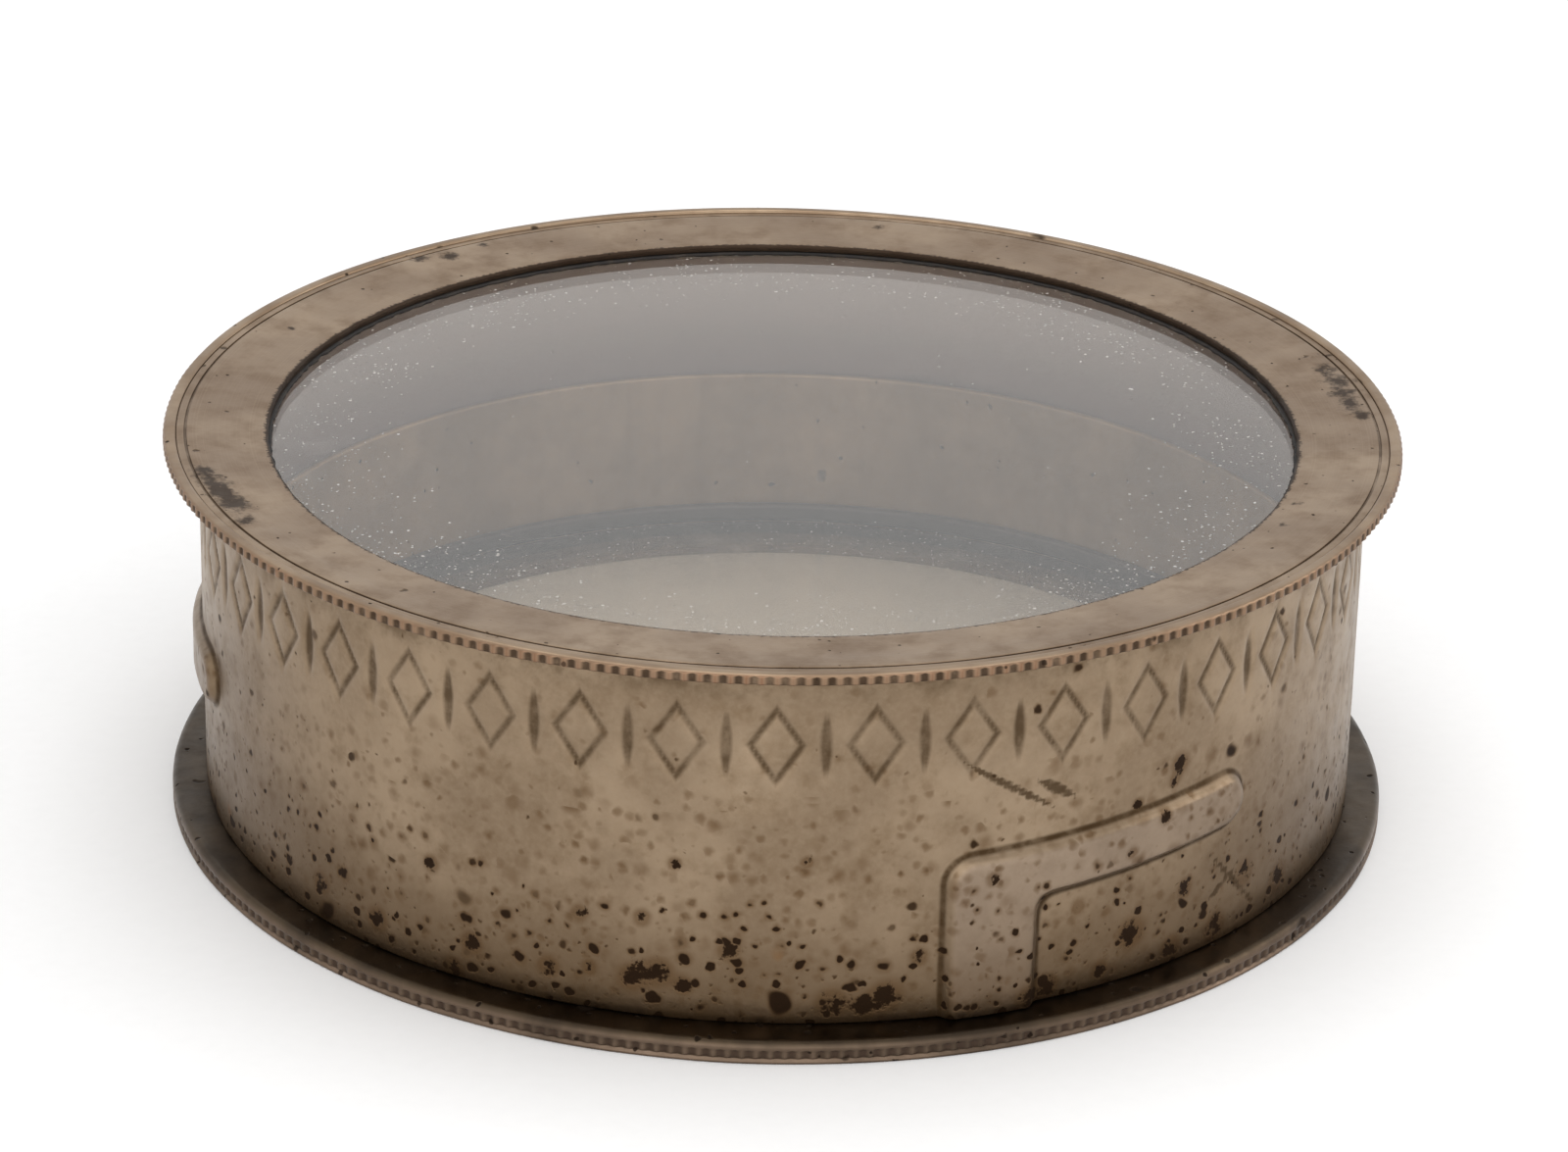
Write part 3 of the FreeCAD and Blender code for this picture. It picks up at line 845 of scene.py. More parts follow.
def new_material(name):
    """Empty node material with an output, and a node giving Object coordinates in mm."""
    material = bpy.data.materials.new(name)
    material.use_nodes = True
    tree = material.node_tree
    tree.nodes.clear()
    place = add(tree, "Mapping", {"Vector": add(tree, "TexCoord").outputs["Object"],
                                  "Scale": (1 / MM, 1 / MM, 1 / MM)})
    output = add(tree, "OutputMaterial")
    return material, tree, place, output


# %% [markdown]
# ## Patterns
#
# Corrosion on plated brass comes as pits and specks. A Voronoi texture gives one cell per
# speck, and the cell's own random colour decides whether it holds a speck at all, how
# large that is and how strong. The place is first pushed about by noise, so that specks
# aren't round. A mask from the mesh, such as a blotch, has a soft round edge, and noise
# added before a smooth step makes that edge ragged.

# %% Patterns used by several finishes
def mottle(tree, place, size, detail=4.0, roughness=0.55, offset=0.0):
    """Noise from 0 to 1 whose patches are about size mm across."""
    moved = add(tree, "VectorMath", place, (offset, offset * 0.7, -offset), operation="ADD")
    return add(tree, "TexNoise", {"Vector": moved, "Scale": 1 / size, "Detail": detail,
                                  "Roughness": roughness})


def specks(tree, place, spacing, largest, density, soft=0.45, weakest=0.7):
    """Irregular spots from 0 to 1. spacing and largest, a spot's greatest radius, are in mm.
    density is the share of cells with a spot, soft the share of the radius over which a
    spot fades out, and weakest the strength of the weakest spot."""
    push = add(tree, "TexNoise", {"Vector": place, "Scale": 1.6 / spacing, "Detail": 1.0})
    centred = add(tree, "VectorMath", push.outputs["Color"], (0.5,) * 3, operation="SUBTRACT")
    moved = add(tree, "VectorMath", centred, (spacing * 0.45,) * 3, place,
                operation="MULTIPLY_ADD")
    cells = add(tree, "TexVoronoi", {"Vector": moved, "Scale": 1 / spacing})
    chance = add(tree, "SeparateColor", {"Color": cells.outputs["Color"]})
    size = add(tree, "Math", chance.outputs[1], 0.65 * largest / spacing,
               0.35 * largest / spacing, operation="MULTIPLY_ADD")
    inner = add(tree, "Math", size, 1 - soft, operation="MULTIPLY")
    spot = add(tree, "MapRange", cells.outputs["Distance"], inner, size, 1.0, 0.0, **EASED)
    held = add(tree, "Math", chance.outputs[0], density, operation="LESS_THAN")
    strength = add(tree, "MapRange", chance.outputs[2], 0.0, 1.0, weakest, 1.0, **EASED)
    return add(tree, "Math", add(tree, "Math", spot, held, **TIMES), strength, **TIMES)


def ragged_mask(tree, noise, reach, mask, lowered, low, high):
    """Mask with a ragged edge: smooth step from low to high of noise x reach + mask - lowered."""
    pushed = add(tree, "Math", noise, reach, mask, operation="MULTIPLY_ADD")
    pushed = add(tree, "Math", pushed, lowered, **LESS)
    return add(tree, "MapRange", pushed, low, high, 0.0, 1.0, **EASED)


def axis_distance(tree, place):
    """Distance to the case's axis in mm: the length of the place with its height removed."""
    flat = add(tree, "VectorMath", place, (1.0, 1.0, 0.0), operation="MULTIPLY")
    return add(tree, "VectorMath", flat, operation="LENGTH").outputs["Value"]


# %% [markdown]
# ## Metal skin
#
# All the metal finishes end in the same way. Roughness follows a pattern and rises where
# the metal is dull, and a bump gives the relief in real millimetres, with pits going down.
# The IOR stays at its default. The film on the plated parts is matt, so the part of their
# skin that isn't metal has a low specular level.

# %% Shader shared by the metals
def metal_skin(tree, output, colour, metallic, pattern, rough, dull, relief,
               strength=0.7, specular=0.15):
    """Principled metal joined to the output. Its roughness goes between the two values of
    rough as the pattern rises, plus 0.3 x dull. relief is a list of (mask, mm) to add up."""
    roughness = add(tree, "MapRange", pattern, 0.3, 0.8, *rough, **EASED)
    roughness = add(tree, "Math", roughness, add(tree, "Math", dull, 0.3, **TIMES), **PLUS)
    mask, rise = relief[0]
    depth = add(tree, "Math", mask, rise, operation="MULTIPLY")
    for mask, rise in relief[1:]:
        depth = add(tree, "Math", mask, rise, depth, operation="MULTIPLY_ADD")
    bump = add(tree, "Bump", {"Height": depth, "Distance": MM, "Strength": strength})
    skin = add(tree, "BsdfPrincipled", {
        "Base Color": colour, "Metallic": metallic, "Roughness": roughness,
        "Specular IOR Level": specular, "Normal": bump})
    tree.links.new(skin.outputs[0], output.inputs["Surface"])


# %% [markdown]
# ## Band finish
#
# The band is drawn brass sheet, nickel plated, and the plating has gone a warm grey with
# handling. Real tarnish isn't one film. Brown freckles lie all over and thin out towards
# the top. Darker pits and rusty specks follow the mesh's pitting values, and where the
# plating has failed in a blotch the same dark colour fills it.

# %% Band: freckles, pits and rust
def band_spots(tree, place, height, pitting, blotch, ragged):
    """Masks from 0 to 1 for the brown freckles, the dark pits and the rusty specks."""
    lower = add(tree, "MapRange", height, 8.5, 13.0, 0.95, 0.22, **EASED)
    freckles = add(tree, "Math", specks(tree, place, 0.6, 0.38, lower, 0.75, 0.3),
                   specks(tree, place, 1.0, 0.58, lower, 0.85, 0.35), **MOST)
    low_down = add(tree, "MapRange", height, 1.5, 9.5, 1.0, 0.45, **EASED)
    cores = add(tree, "Math", freckles, low_down, **TIMES)
    cores = add(tree, "MapRange", cores, 0.32, 0.72, 0.0, 0.9, **EASED)
    medium = specks(tree, place, 0.8, 0.36, add(tree, "Math", pitting, 0.65, **TIMES), 0.7, 0.2)
    medium = add(tree, "Math", medium, 0.75, **TIMES)
    crowding = add(tree, "MapRange", pitting, 0.2, 0.9, 0.05, 0.9, **EASED)
    fine = specks(tree, place, 0.4, 0.17, crowding, 0.7, 0.3)
    pits = add(tree, "Math", medium, add(tree, "Math", fine, 0.6, **TIMES), **MOST)
    coarse = specks(tree, place, 2.1, 0.85, add(tree, "Math", pitting, 0.3, **TIMES), 0.6, 0.4)
    failed = ragged_mask(tree, ragged, 1.9, blotch, 1.15, 0.25, 0.75)
    pits = add(tree, "Math", pits, add(tree, "Math", coarse, failed, **MOST), **MOST)
    pits = add(tree, "Math", pits, cores, **MOST)
    rust = specks(tree, place, 2.7, 0.6, add(tree, "Math", pitting, 0.16, **TIMES), 0.7)
    return freckles, pits, add(tree, "Math", rust, 0.7, **TIMES)


# %% [markdown]
# Dirt stays where a cloth can't reach: along the foot of each channel, in the stamping and the
# scrapes, and at the bottom edge. The band is also darkened under the rim in the same colour.
# Everywhere it is patchy, so each place is multiplied by the same clouds.

# %% Band: dirt
def band_dirt(tree, height, channel, frieze, scraped, clouds, ragged):
    """Mask from 0 to 1 for the dirt and for the darkening under the rim: the greatest of what lies
    in the five places.
    """
    patchy = []
    for source, where, share in [
        # what it follows, the place (from, to, start, end), and what the clouds leave of it
        (frieze, (-0.14, 0.08, 1.0, 0.0), (0.3, 0.6, 0.4, 0.8)),
        (height, (1.1, 2.3, 1.0, 0.0), (0.35, 0.62, 0.15, 0.9)),
        # darker under the rim, in the dirt colour
        (height, (15.0, 16.8, 0.0, 0.75), (0.35, 0.65, 0.1, 0.9)),
    ]:
        lies = add(tree, "MapRange", source, *where, **EASED)
        left = add(tree, "MapRange", clouds, *share, **EASED)
        patchy.append(add(tree, "Math", lies, left, **TIMES))
    stamped, low_edge, under_rim = patchy
    outer = add(tree, "MapRange", channel, 0.06, 0.24, 1.0, 0.0, **EASED)
    inner = add(tree, "MapRange", channel, -0.14, 0.0, 0.0, 1.0, **EASED)
    foot = add(tree, "Math", add(tree, "Math", outer, inner, **TIMES),
               add(tree, "MapRange", clouds, 0.3, 0.6, 0.65, 1.0, **EASED), **TIMES)
    filled = ragged_mask(tree, ragged, 0.9, scraped, 0.9, 0.05, 0.55)
    filled = add(tree, "Math", filled, 0.85, **TIMES)
    dirt = add(tree, "Math", foot, add(tree, "Math", stamped, filled, **MOST), **MOST)
    return add(tree, "Math", dirt, add(tree, "Math", low_edge, under_rim, **MOST), **MOST)


# %% [markdown]
# The colours are then laid over each other from the plating outwards. Pits and dirt shine less, so
# they take up to a quarter off the metallic value and get rougher, and the pits sink a little. The
# unhandled inside is paler and greyer. Its colour is also painted lighter towards the glass, a
# painted highlight for the light that falls in through the top glass.

# %% Nickel-plated brass, drawn and tarnished
def tarnished_band():
    """Warm grey plated band: patches, grain, freckles, pits by density, dirt, and a pale inside
    painted lighter towards the glass as painted light.
    """
    material, tree, place, output = new_material("nickel_plated_brass_drawn_tarnished")
    outside, pitting, channel, frieze, scraped, blotch = [
        add(tree, "Attribute", attribute_name=name).outputs["Fac"]
        for name in ("outside", "pitting", "channel_mm", "frieze_mm", "scraped", "blotch")]
    height = add(tree, "SeparateXYZ", {"Vector": place}).outputs["Z"]
    patches = mottle(tree, place, 6.0, 5.0, 0.6)
    clouds = mottle(tree, place, 1.4, 4.0, 0.65, offset=31.0)
    grain = mottle(tree, place, 0.28, 3.0, 0.6, offset=57.0)
    ragged = mottle(tree, place, 0.55, 3.0, 0.7, offset=83.0)
    freckles, pits, rust = band_spots(tree, place, height, pitting, blotch, ragged)
    dirt = band_dirt(tree, height, channel, frieze, scraped, clouds, ragged)
    dirt = add(tree, "Math", dirt, outside, **TIMES)
    halo = add(tree, "MapRange", blotch, 0.05, 0.6, 0.0, 1.0, **EASED)
    halo = add(tree, "Math", halo, 0.6, **TIMES)
    fading = add(tree, "MapRange", height, 3.0, 12.0, 0.95, 0.55, **EASED)
    brown = add(tree, "Math", add(tree, "Math", freckles, fading, **TIMES), halo, **MOST)
    brown = add(tree, "Math", brown, pits, **MOST)
    handled = add(tree, "Math", add(tree, "MapRange", height, 1.5, 8.0, 0.42, 0.0, **EASED),
                  add(tree, "MapRange", patches, 0.25, 0.6, 0.6, 1.0, **EASED), **TIMES)
    around_pits = add(tree, "MapRange", pitting, 0.2, 0.85, 0.0, 0.65, **EASED)
    handled = add(tree, "Math", handled, around_pits, **MOST)
    plate = linear("826F5A")
    for amount, code in [
        (add(tree, "MapRange", patches, 0.35, 0.68, 0.0, 1.0, **EASED), "98846D"),
        (add(tree, "MapRange", clouds, 0.45, 0.75, 0.0, 0.45, **EASED), "715C44"),
        (add(tree, "MapRange", grain, 0.35, 0.75, 0.0, 0.25, **EASED), "9A8973"),
        (add(tree, "MapRange", channel, -0.45, -0.2, 0.35, 0.0, **EASED), "96877B"),
        (handled, "5C4934"), (brown, "5A4127"), (rust, "7A5228"), (dirt, "443320"),
        (add(tree, "MapRange", pits, 0.25, 0.85, 0.0, 1.0, **EASED), "2A1C10"),
    ]:
        plate = add(tree, "Mix", amount, plate, linear(code), **COLOURS)
    # Painted light: the inside is painted lighter from 9 mm up towards the glass, where light falls
    # in through the top glass; its paler, greyer tone is the nickel's own.
    lining_painted_light = add(tree, "Mix", add(tree, "MapRange", height, 9.0, 15.5, 0.0, 1.0, **EASED),
                 linear("8A7A78"), linear("E2D6D3"), **COLOURS)
    plate = add(tree, "Mix", outside, lining_painted_light, plate, **COLOURS)
    dull = add(tree, "Math", add(tree, "Math", pits, 0.9, **TIMES),
               add(tree, "Math", dirt, 0.7, **TIMES), **MOST)
    metallic = add(tree, "Math", add(tree, "MapRange", dull, 0.0, 1.0, 1.0, 0.75, **EASED),
                   add(tree, "MapRange", outside, 0.0, 1.0, 0.45, 1.0, **EASED), **TIMES)
    metal_skin(tree, output, plate, metallic, clouds, (0.34, 0.48), dull,
               [(pits, -0.025), (grain, 0.01)])
    return material


band_finish = tarnished_band()
print(band_finish.name, "has", len(band_finish.node_tree.nodes), "nodes")

# %% [markdown]
# ## Bezel finish
#
# The bezel was pressed and polished before plating, so it is smoother and its tarnish
# lies in broad stains, with faint circular polishing lines. Those come from the distance
# to the axis: a noise that reads only the radius is the same all the way round. Dirt sits
# in the groove beside the bead and along the ragged edge of the lip.

# %% Nickel-plated brass, pressed and polished
def polished_bezel():
    """Smooth plated ring: stains, circular polishing lines, sparse pits, dirt in the groove."""
    material, tree, place, output = new_material("nickel_plated_brass_polished_tarnished")
    groove, lip, stain = [add(tree, "Attribute", attribute_name=name).outputs["Fac"]
                          for name in ("groove", "lip", "stain")]
    lines = add(tree, "TexNoise", {"W": axis_distance(tree, place), "Scale": 14.0,
                                   "Detail": 3.0, "Roughness": 0.7}, noise_dimensions="1D")
    patches = mottle(tree, place, 7.0, 4.0, 0.55, offset=11.0)
    clouds = mottle(tree, place, 1.6, 4.0, 0.6, offset=23.0)
    ragged = mottle(tree, place, 0.45, 3.0, 0.7, offset=61.0)
    fringe = mottle(tree, place, 0.16, 2.0, 0.5, offset=71.0)
    grain = mottle(tree, place, 0.25, 2.0, 0.5, offset=5.0)
    stained = add(tree, "MapRange", mottle(tree, place, 3.6, 3.0, 0.6, offset=47.0),
                  0.6, 0.74, 0.0, 1.0, **EASED)
    coarse = specks(tree, place, 2.3, 0.6, add(tree, "Math", stained, 0.3, **TIMES))
    crowding = add(tree, "Math", add(tree, "Math", stained, 0.45, **TIMES), 0.035, **PLUS)
    medium = specks(tree, place, 0.9, 0.26, crowding)
    crowding = add(tree, "Math", add(tree, "Math", stained, 0.5, **TIMES), 0.07, **PLUS)
    fine = specks(tree, place, 0.4, 0.12, crowding)
    pits = add(tree, "Math", coarse, add(tree, "Math", medium, fine, **MOST), **MOST)
    dirt = add(tree, "Math", groove,
               add(tree, "MapRange", clouds, 0.25, 0.6, 0.15, 0.5, **EASED), **TIMES)
    edge = ragged_mask(tree, fringe, 0.9, lip, 0.45, 0.35, 0.75)
    dirt = add(tree, "Math", dirt, add(tree, "Math", edge, 0.95, **TIMES), **MOST)
    spoiled = ragged_mask(tree, ragged, 1.6, stain, 0.95, 0.2, 0.8)
    dirt = add(tree, "Math", dirt, add(tree, "Math", spoiled, 0.9, **TIMES), **MOST)
    plate = linear("8D7761")
    for amount, code in [
        (add(tree, "MapRange", patches, 0.35, 0.68, 0.0, 1.0, **EASED), "A79179"),
        (add(tree, "MapRange", clouds, 0.42, 0.75, 0.0, 0.6, **EASED), "78614A"),
        (add(tree, "MapRange", lines, 0.45, 0.75, 0.0, 0.16, **EASED), "B7A48C"),
        (add(tree, "Math", stained, 0.3, **TIMES), "6A5138"), (dirt, "342820"), (pits, "30251B"),
    ]:
        plate = add(tree, "Mix", amount, plate, linear(code), **COLOURS)
    dull = add(tree, "Math", pits, add(tree, "Math", dirt, 0.6, **TIMES), **MOST)
    metallic = add(tree, "MapRange", dull, 0.0, 1.0, 1.0, 0.75, **EASED)
    metal_skin(tree, output, plate, metallic, clouds, (0.3, 0.44), dull,
               [(pits, -0.025), (grain, 0.008), (lines, 0.006)])
    return material


bezel_finish = polished_bezel()
print(bezel_finish.name, "has", len(bezel_finish.node_tree.nodes), "nodes")

# %% [markdown]
# ## Milled rims
#
# On the milled edges the plating has worn through at the crests to warm brown brass, while
# the grooves are packed with dark dirt. The meshes store how deep in a groove each point
# lies, so both follow the teeth exactly. The base's rim stands on the table and is much
# darker than the cap's, so the same function makes both with different colours.

# %% Nickel-plated brass, milled and worn
def worn_rim(name, plain, lighter, crest_colour, valley_colour, pit_share):
    """Plated rim: worn crests, dirty valleys and specks, mixed by the stored groove depth."""
    material, tree, place, output = new_material(name)
    valley, crest = [add(tree, "Attribute", attribute_name=name).outputs["Fac"]
                     for name in ("valley", "crest")]
    patches = mottle(tree, place, 4.5, 4.0, 0.6, offset=3.0)
    clouds = mottle(tree, place, 1.1, 4.0, 0.65, offset=19.0)
    worn = add(tree, "Math", crest,
               add(tree, "MapRange", patches, 0.3, 0.7, 0.35, 1.0, **EASED), **TIMES)
    packed = add(tree, "Math", add(tree, "MapRange", valley, 0.15, 0.75, 0.0, 1.0, **EASED),
                 add(tree, "MapRange", clouds, 0.25, 0.6, 0.55, 0.9, **EASED), **TIMES)
    spots = add(tree, "Math", specks(tree, place, 1.5, 0.55, pit_share * 0.5),
                specks(tree, place, 0.5, 0.2, pit_share), **MOST)
    plate = linear(plain)
    for amount, code in [
        (add(tree, "MapRange", patches, 0.35, 0.68, 0.0, 1.0, **EASED), lighter),
        (worn, crest_colour), (packed, valley_colour), (spots, "251B13"),
    ]:
        plate = add(tree, "Mix", amount, plate, linear(code), **COLOURS)
    dull = add(tree, "Math", spots, add(tree, "Math", packed, 0.8, **TIMES), **MOST)
    metallic = add(tree, "MapRange", dull, 0.0, 1.0, 1.0, 0.75, **EASED)
    metal_skin(tree, output, plate, metallic, clouds, (0.32, 0.5), dull,
               [(spots, -0.04), (clouds, 0.02)])
    return material


cap_rim_finish = worn_rim("nickel_plated_brass_milled_worn",
                          "8E7862", "A8927A", "80604A", "3B2C20", 0.10)
base_rim_finish = worn_rim("brass_milled_dirt_blackened",
                           "3B3229", "524536", "776556", "4E3F35", 0.20)
print(cap_rim_finish.name, "and", base_rim_finish.name)

# %% [markdown]
# ## Inside the case
#
# The sleeve was never handled, so its tarnish is an even brown film with drips and a few specks.
# The hoops are both drawn spring steel. The cap's is painted pale, a painted highlight for the
# bright zone just under the top glass. The base's is painted near-black, a painted shade for the
# shaded zone above the base glass. The pins are turned brass.

# %% Plain sheet and wire
def plain_metal(name, light, dark, rough, spot_share, shine=1.0):
    """Tarnished metal: two colours by patches, drips and specks over a fine grain, with its
    metallic value lowered to shine where a film covers it."""
    material, tree, place, output = new_material(name)
    patches = mottle(tree, place, 5.0, 5.0, 0.6, offset=13.0)
    tall = add(tree, "Mapping", {"Vector": place, "Scale": (0.9, 0.9, 0.12)})
    drips = mottle(tree, tall, 1.0, 3.0, 0.6, offset=29.0)
    grain = mottle(tree, place, 0.3, 2.0, 0.5, offset=37.0)
    spots = add(tree, "Math", specks(tree, place, 1.8, 0.45, spot_share),
                specks(tree, place, 0.55, 0.16, spot_share * 1.5), **MOST)
    film = linear(dark)
    for amount, code in [
        (add(tree, "MapRange", patches, 0.32, 0.7, 0.0, 1.0, **EASED), light),
        (add(tree, "MapRange", drips, 0.55, 0.8, 0.0, 0.4, **EASED), dark), (spots, "2E241C"),
    ]:
        film = add(tree, "Mix", amount, film, linear(code), **COLOURS)
    metallic = add(tree, "MapRange", spots, 0.0, 1.0, shine, shine * 0.8, **EASED)
    metal_skin(tree, output, film, metallic, drips, (rough, rough + 0.12), spots,
               [(spots, -0.03), (grain, 0.01)], strength=0.6, specular=0.5)
    return material


sleeve_finish = plain_metal("brass_drawn_tarnished", "AE9273", "90775A", 0.46, 0.05, 0.7)
# Painted highlight: the cap's hoop gets pale colours for the light that falls on it just under the
# top glass.
pale_hoop_painted_light = plain_metal("spring_steel_drawn_pale_painted_light", "DDD3CF", "BDB2AD", 0.34, 0.04, 0.5)
# Painted shade: the base's hoop gets near-black colours for the shade it lies in above the base
# glass.
dark_hoop_painted_shade = plain_metal("spring_steel_drawn_dark_painted_shade", "4E4743", "36312E", 0.42, 0.10)
pin_finish = plain_metal("brass_pin_turned_tarnished", "8C7355", "63503A", 0.34, 0.10)
print("inside finishes:", sleeve_finish.name, pale_hoop_painted_light.name, pin_finish.name)

# %% [markdown]
# The packing is near-black moulded rubber. It is matt, with brown dust lying in patches
# and a fine grainy bump.

# %% Moulded rubber
def dusty_packing():
    """Near-black rubber, moulded and matt: faint brown dust in patches and a grainy bump."""
    material, tree, place, output = new_material("rubber_packing_moulded_dusty")
    dust = mottle(tree, place, 0.9, 4.0, 0.7)
    grain = mottle(tree, place, 0.2, 2.0, 0.6, offset=9.0)
    tone = add(tree, "Mix", add(tree, "MapRange", dust, 0.45, 0.85, 0.0, 0.5, **EASED),
               linear("16110E"), linear("55473A"), **COLOURS)
    bump = add(tree, "Bump", {"Height": grain, "Distance": 0.03 * MM, "Strength": 0.8})
    skin = add(tree, "BsdfPrincipled", {"Base Color": tone, "Roughness": 0.75, "IOR": 1.52,
                                        "Normal": bump})
    tree.links.new(skin.outputs[0], output.inputs["Surface"])
    return material


packing_finish = dusty_packing()
print(packing_finish.name, "made")

# %% [markdown]
# ## Glass
#
# The glasses are flat sheet glass, and old ones are never clean: a film of dust towards
# the edge, some specks, and hair scratches. Dust is opaque and matt, so where it lies the
# glass loses some of its transmission and gets rough. Lamps shine through glass only as
# slow-to-render caustics, so a shadow ray meets a clear stand-in instead.

# %% Glass: dust and scratches
def glass_grime(tree, place, film_amount, speck_share):
    """Mask from 0 to 1 for what dulls the glass: film and powder near the edge, hairs."""
    radius = axis_distance(tree, place)
    edge = add(tree, "MapRange", radius, 15.0, 22.6, 0.25, 1.0, **EASED)
    haze = add(tree, "MapRange", mottle(tree, place, 3.0, 5.0, 0.7), 0.4, 0.75, 0.0, 1.0, **EASED)
    film = add(tree, "Math", add(tree, "Math", haze, edge, **TIMES), film_amount, **TIMES)
    share = add(tree, "Math", edge, speck_share, **TIMES)
    drifts = add(tree, "MapRange", mottle(tree, place, 5.0, 3.0, 0.6, 17.0),
                 0.38, 0.6, 0.15, 1.0, **EASED)
    powder = add(tree, "Math", add(tree, "MapRange", radius, 15.5, 22.0, 0.0, 1.0, **EASED),
                 drifts, **TIMES)
    powder = specks(tree, place, 0.24, 0.1, add(tree, "Math", powder, 0.8, **TIMES), 0.7, 0.1)
    dots = add(tree, "Math", specks(tree, place, 0.5, 0.08, share, 0.6, 0.2), powder, **MOST)
    dots = add(tree, "Math", dots, specks(tree, place, 2.2, 0.15, share, 0.5, 0.3), **MOST)
    turned = add(tree, "Mapping", {"Vector": place, "Rotation": (0, 0, 0.6),
                                   "Scale": (0.05, 1.6, 1.0)})
    strands = add(tree, "TexVoronoi", {"Vector": turned, "Scale": 0.8},
                  feature="DISTANCE_TO_EDGE")
    here = add(tree, "MapRange", mottle(tree, place, 4.0, 2.0, 0.5, 77.0),
               0.6, 0.66, 0.0, 1.0, **EASED)
    hair = add(tree, "MapRange", strands, 0.0, 0.005, 1.0, 0.0, **EASED)
    hair = add(tree, "Math", hair, here, **TIMES)
    grime = add(tree, "Math", film, add(tree, "Math", dots, 0.75, **TIMES), **MOST)
    return add(tree, "Math", grime, add(tree, "Math", hair, 0.22, **TIMES), **MOST)


# %% [markdown]
# The grime then decides at each point how much light the glass lets through, how rough it
# is, and how far it takes on the dust's colour.

# %% Flat glass, ground edges, dusty
def dusty_glass(name, tone_code, film_amount, speck_share):
    """Clear glass with grime: it transmits less, gets rougher and takes the dust's colour."""
    material, tree, place, output = new_material(name)
    grime = glass_grime(tree, place, film_amount, speck_share)
    clear = add(tree, "MapRange", grime, 0.0, 1.0, 1.0, 0.0, **EASED)
    tone = add(tree, "Mix", grime, linear(tone_code), linear("B8AFA6"), **COLOURS)
    roughness = add(tree, "MapRange", grime, 0.0, 0.6, 0.0, 0.5, **EASED)
    skin = add(tree, "BsdfPrincipled", {"Base Color": tone, "Roughness": roughness, "IOR": 1.52,
                                        "Transmission Weight": clear})
    passing = add(tree, "BsdfTransparent", {"Color": linear("E2DED8")})
    shadow = add(tree, "LightPath").outputs["Is Shadow Ray"]
    mixed = add(tree, "MixShader", shadow, skin, passing)
    tree.links.new(mixed.outputs[0], output.inputs["Surface"])
    return material


top_glass_finish = dusty_glass("sheet_glass_flat_ground_edge", "FCFAF6", 0.13, 0.22)
base_glass_finish = dusty_glass("sheet_glass_flat_ground_edge_dusty", "F3EEE6", 0.26, 0.30)
print(top_glass_finish.name, "and", base_glass_finish.name)

# %% [markdown]
# ## Joining the looks to the frame
#
# Each piece rides on the CAD body it belongs to, stands for its CAD node, and gets its finish. The
# band and its milled rim are two surfaces of one sheet-metal part, so both stand for the same node.

# %% Bodies, nodes, slots and finishes
FITTED = [
    # piece, body, CAD node, slot, finish
    (cap_band_piece, "cap", "cap_sleeve", "cap_plate", band_finish),
    (cap_rim_piece, "cap", "cap_sleeve", "cap_plate", cap_rim_finish),
    (cap_bezel_piece, "cap", "cap_bezel", "bezel_plate", bezel_finish),
    (cap_hoop, "cap", "cap_glass_hoop", "hoop_metal", pale_hoop_painted_light),
    (top_packing, "lifting_glass", "top_glass_seal", "seal_black", packing_finish),
    (top_glass_piece, "lifting_glass", "top_glass", "sight_glass", top_glass_finish),
    (base_ring_piece, "base", "base_bezel", "base_rim_plate", base_rim_finish),
    (base_sleeve_piece, "base", "base_sleeve", "base_sleeve_plate", sleeve_finish),
    (base_packing, "base", "base_glass_seal", "seal_black", packing_finish),
    (base_glass_piece, "base", "base_glass", "sight_glass", base_glass_finish),
    (base_hoop, "base", "base_glass_hoop", "hoop_metal", dark_hoop_painted_shade),
]
FITTED += [(pin, "base", f"bayonet_{pin.name}", "pin_metal", pin_finish) for pin in pins]

for piece, body, node, slot, finish in FITTED:
    piece.data.materials.append(finish)
    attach(piece, body)
    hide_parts(node)
print(len(FITTED), "pieces stand for", len({node for _, _, node, _, _ in FITTED}), "CAD nodes")

# %% [markdown]
# ## Floor and light
#
# A small metal thing is lit by what surrounds it, so the room is white on all sides. The
# floor is matt paper, with a faint tooth that keeps it from looking like a hole.

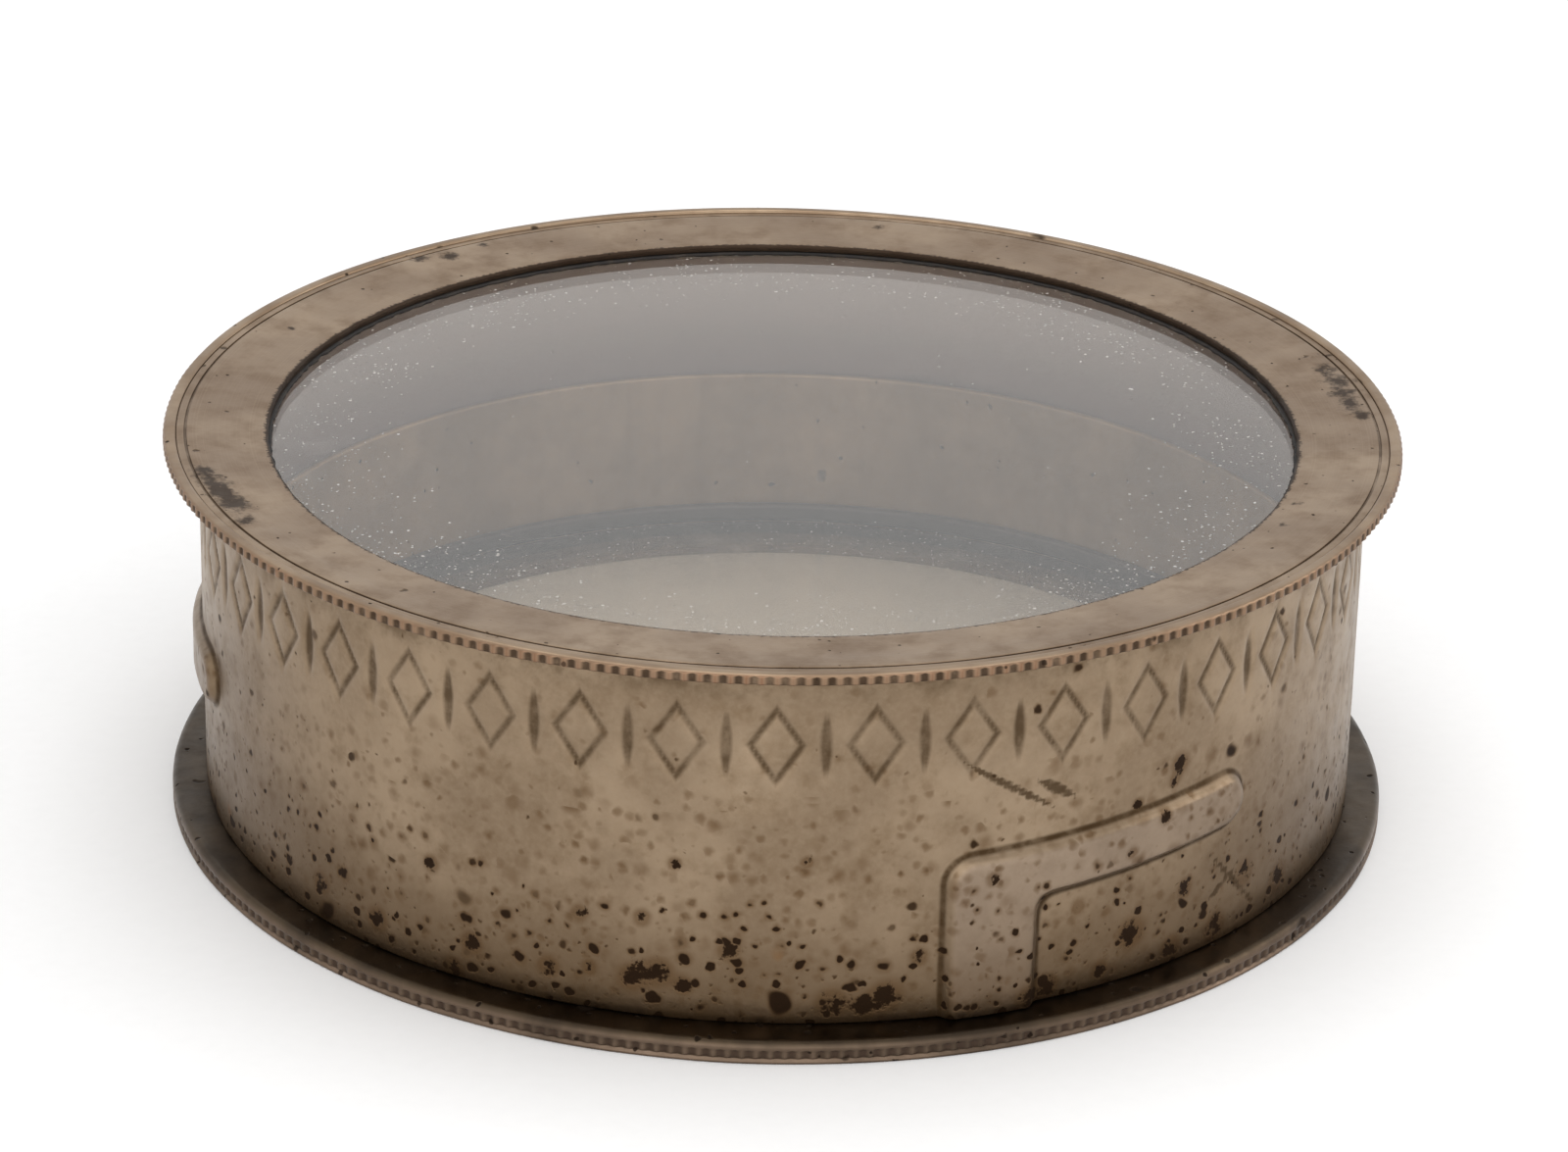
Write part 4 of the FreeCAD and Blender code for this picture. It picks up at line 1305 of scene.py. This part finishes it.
# %% White floor
def white_floor():
    """Flat square grid 3 m wide just under the case, matt white with a faint paper tooth."""
    steps = np.linspace(-1500, 1500, 13) * MM
    across, deep = np.meshgrid(steps, steps)
    points = np.stack([across, deep, np.zeros_like(across)], axis=-1)
    floor = make_piece("white_floor", points, wrap_rows=False, wrap_columns=False)
    material, tree, place, output = new_material("paper_matt_white")
    tooth = mottle(tree, place, 0.8, 3.0, 0.6)
    tone = add(tree, "Mix", tooth, linear("F7F7F7"), linear("FCFCFC"), **COLOURS)
    skin = add(tree, "BsdfPrincipled", {"Base Color": tone, "Roughness": 0.9,
                                        "Specular IOR Level": 0.2})
    tree.links.new(skin.outputs[0], output.inputs["Surface"])
    floor.data.materials.append(material)


white_floor()

# %% [markdown]
# Above the floor come a white world and four soft panels. Those at the sides give the
# round band its lighter flanks. The one in front is the largest, because it lights the band
# and, through the top glass, the far wall inside, and a small strong one would show in the
# glass as a hard white square.

# %% Soft light
PANELS = [
    # name, place mm, size mm, power W
    ("panel_overhead", (0, 60, 450), 300, 0.42),
    ("panel_left", (-380, -40, 190), 260, 0.10),
    ("panel_right", (380, 20, 190), 260, 0.34),
    ("panel_front", (0, -450, 135), 600, 1.15),
]


def soft_panel(name, place, size, power):
    """Square area lamp at a place in mm, aimed at the middle of the case."""
    lamp = bpy.data.lights.new(name, "AREA")
    lamp.shape = "SQUARE"
    lamp.size = size * MM
    lamp.energy = power
    panel = bpy.data.objects.new(name, lamp)
    bpy.context.scene.collection.objects.link(panel)
    place = np.array(place, float) * MM
    away = unit(place - np.array([0, 0, 8 * MM]))
    right = unit(np.cross([0.0, 1.0, 0.0] if abs(away[2]) > 0.9 else [0.0, 0.0, 1.0], away))
    matrix = np.eye(4)
    matrix[:3, :3] = np.stack([right, np.cross(away, right), away], axis=1)
    matrix[:3, 3] = place
    panel.matrix_world = Matrix(matrix.tolist())


for name, place, size, power in PANELS:
    soft_panel(name, place, size, power)

world = bpy.data.worlds.new("white_room")
bpy.context.scene.world = world
world.use_nodes = True
background = world.node_tree.nodes["Background"]
background.inputs["Color"].default_value = linear("FFFFFF")
background.inputs["Strength"].default_value = 0.85
bpy.context.scene.view_settings.view_transform = "Standard"
print(len(PANELS), "panels and a white room")
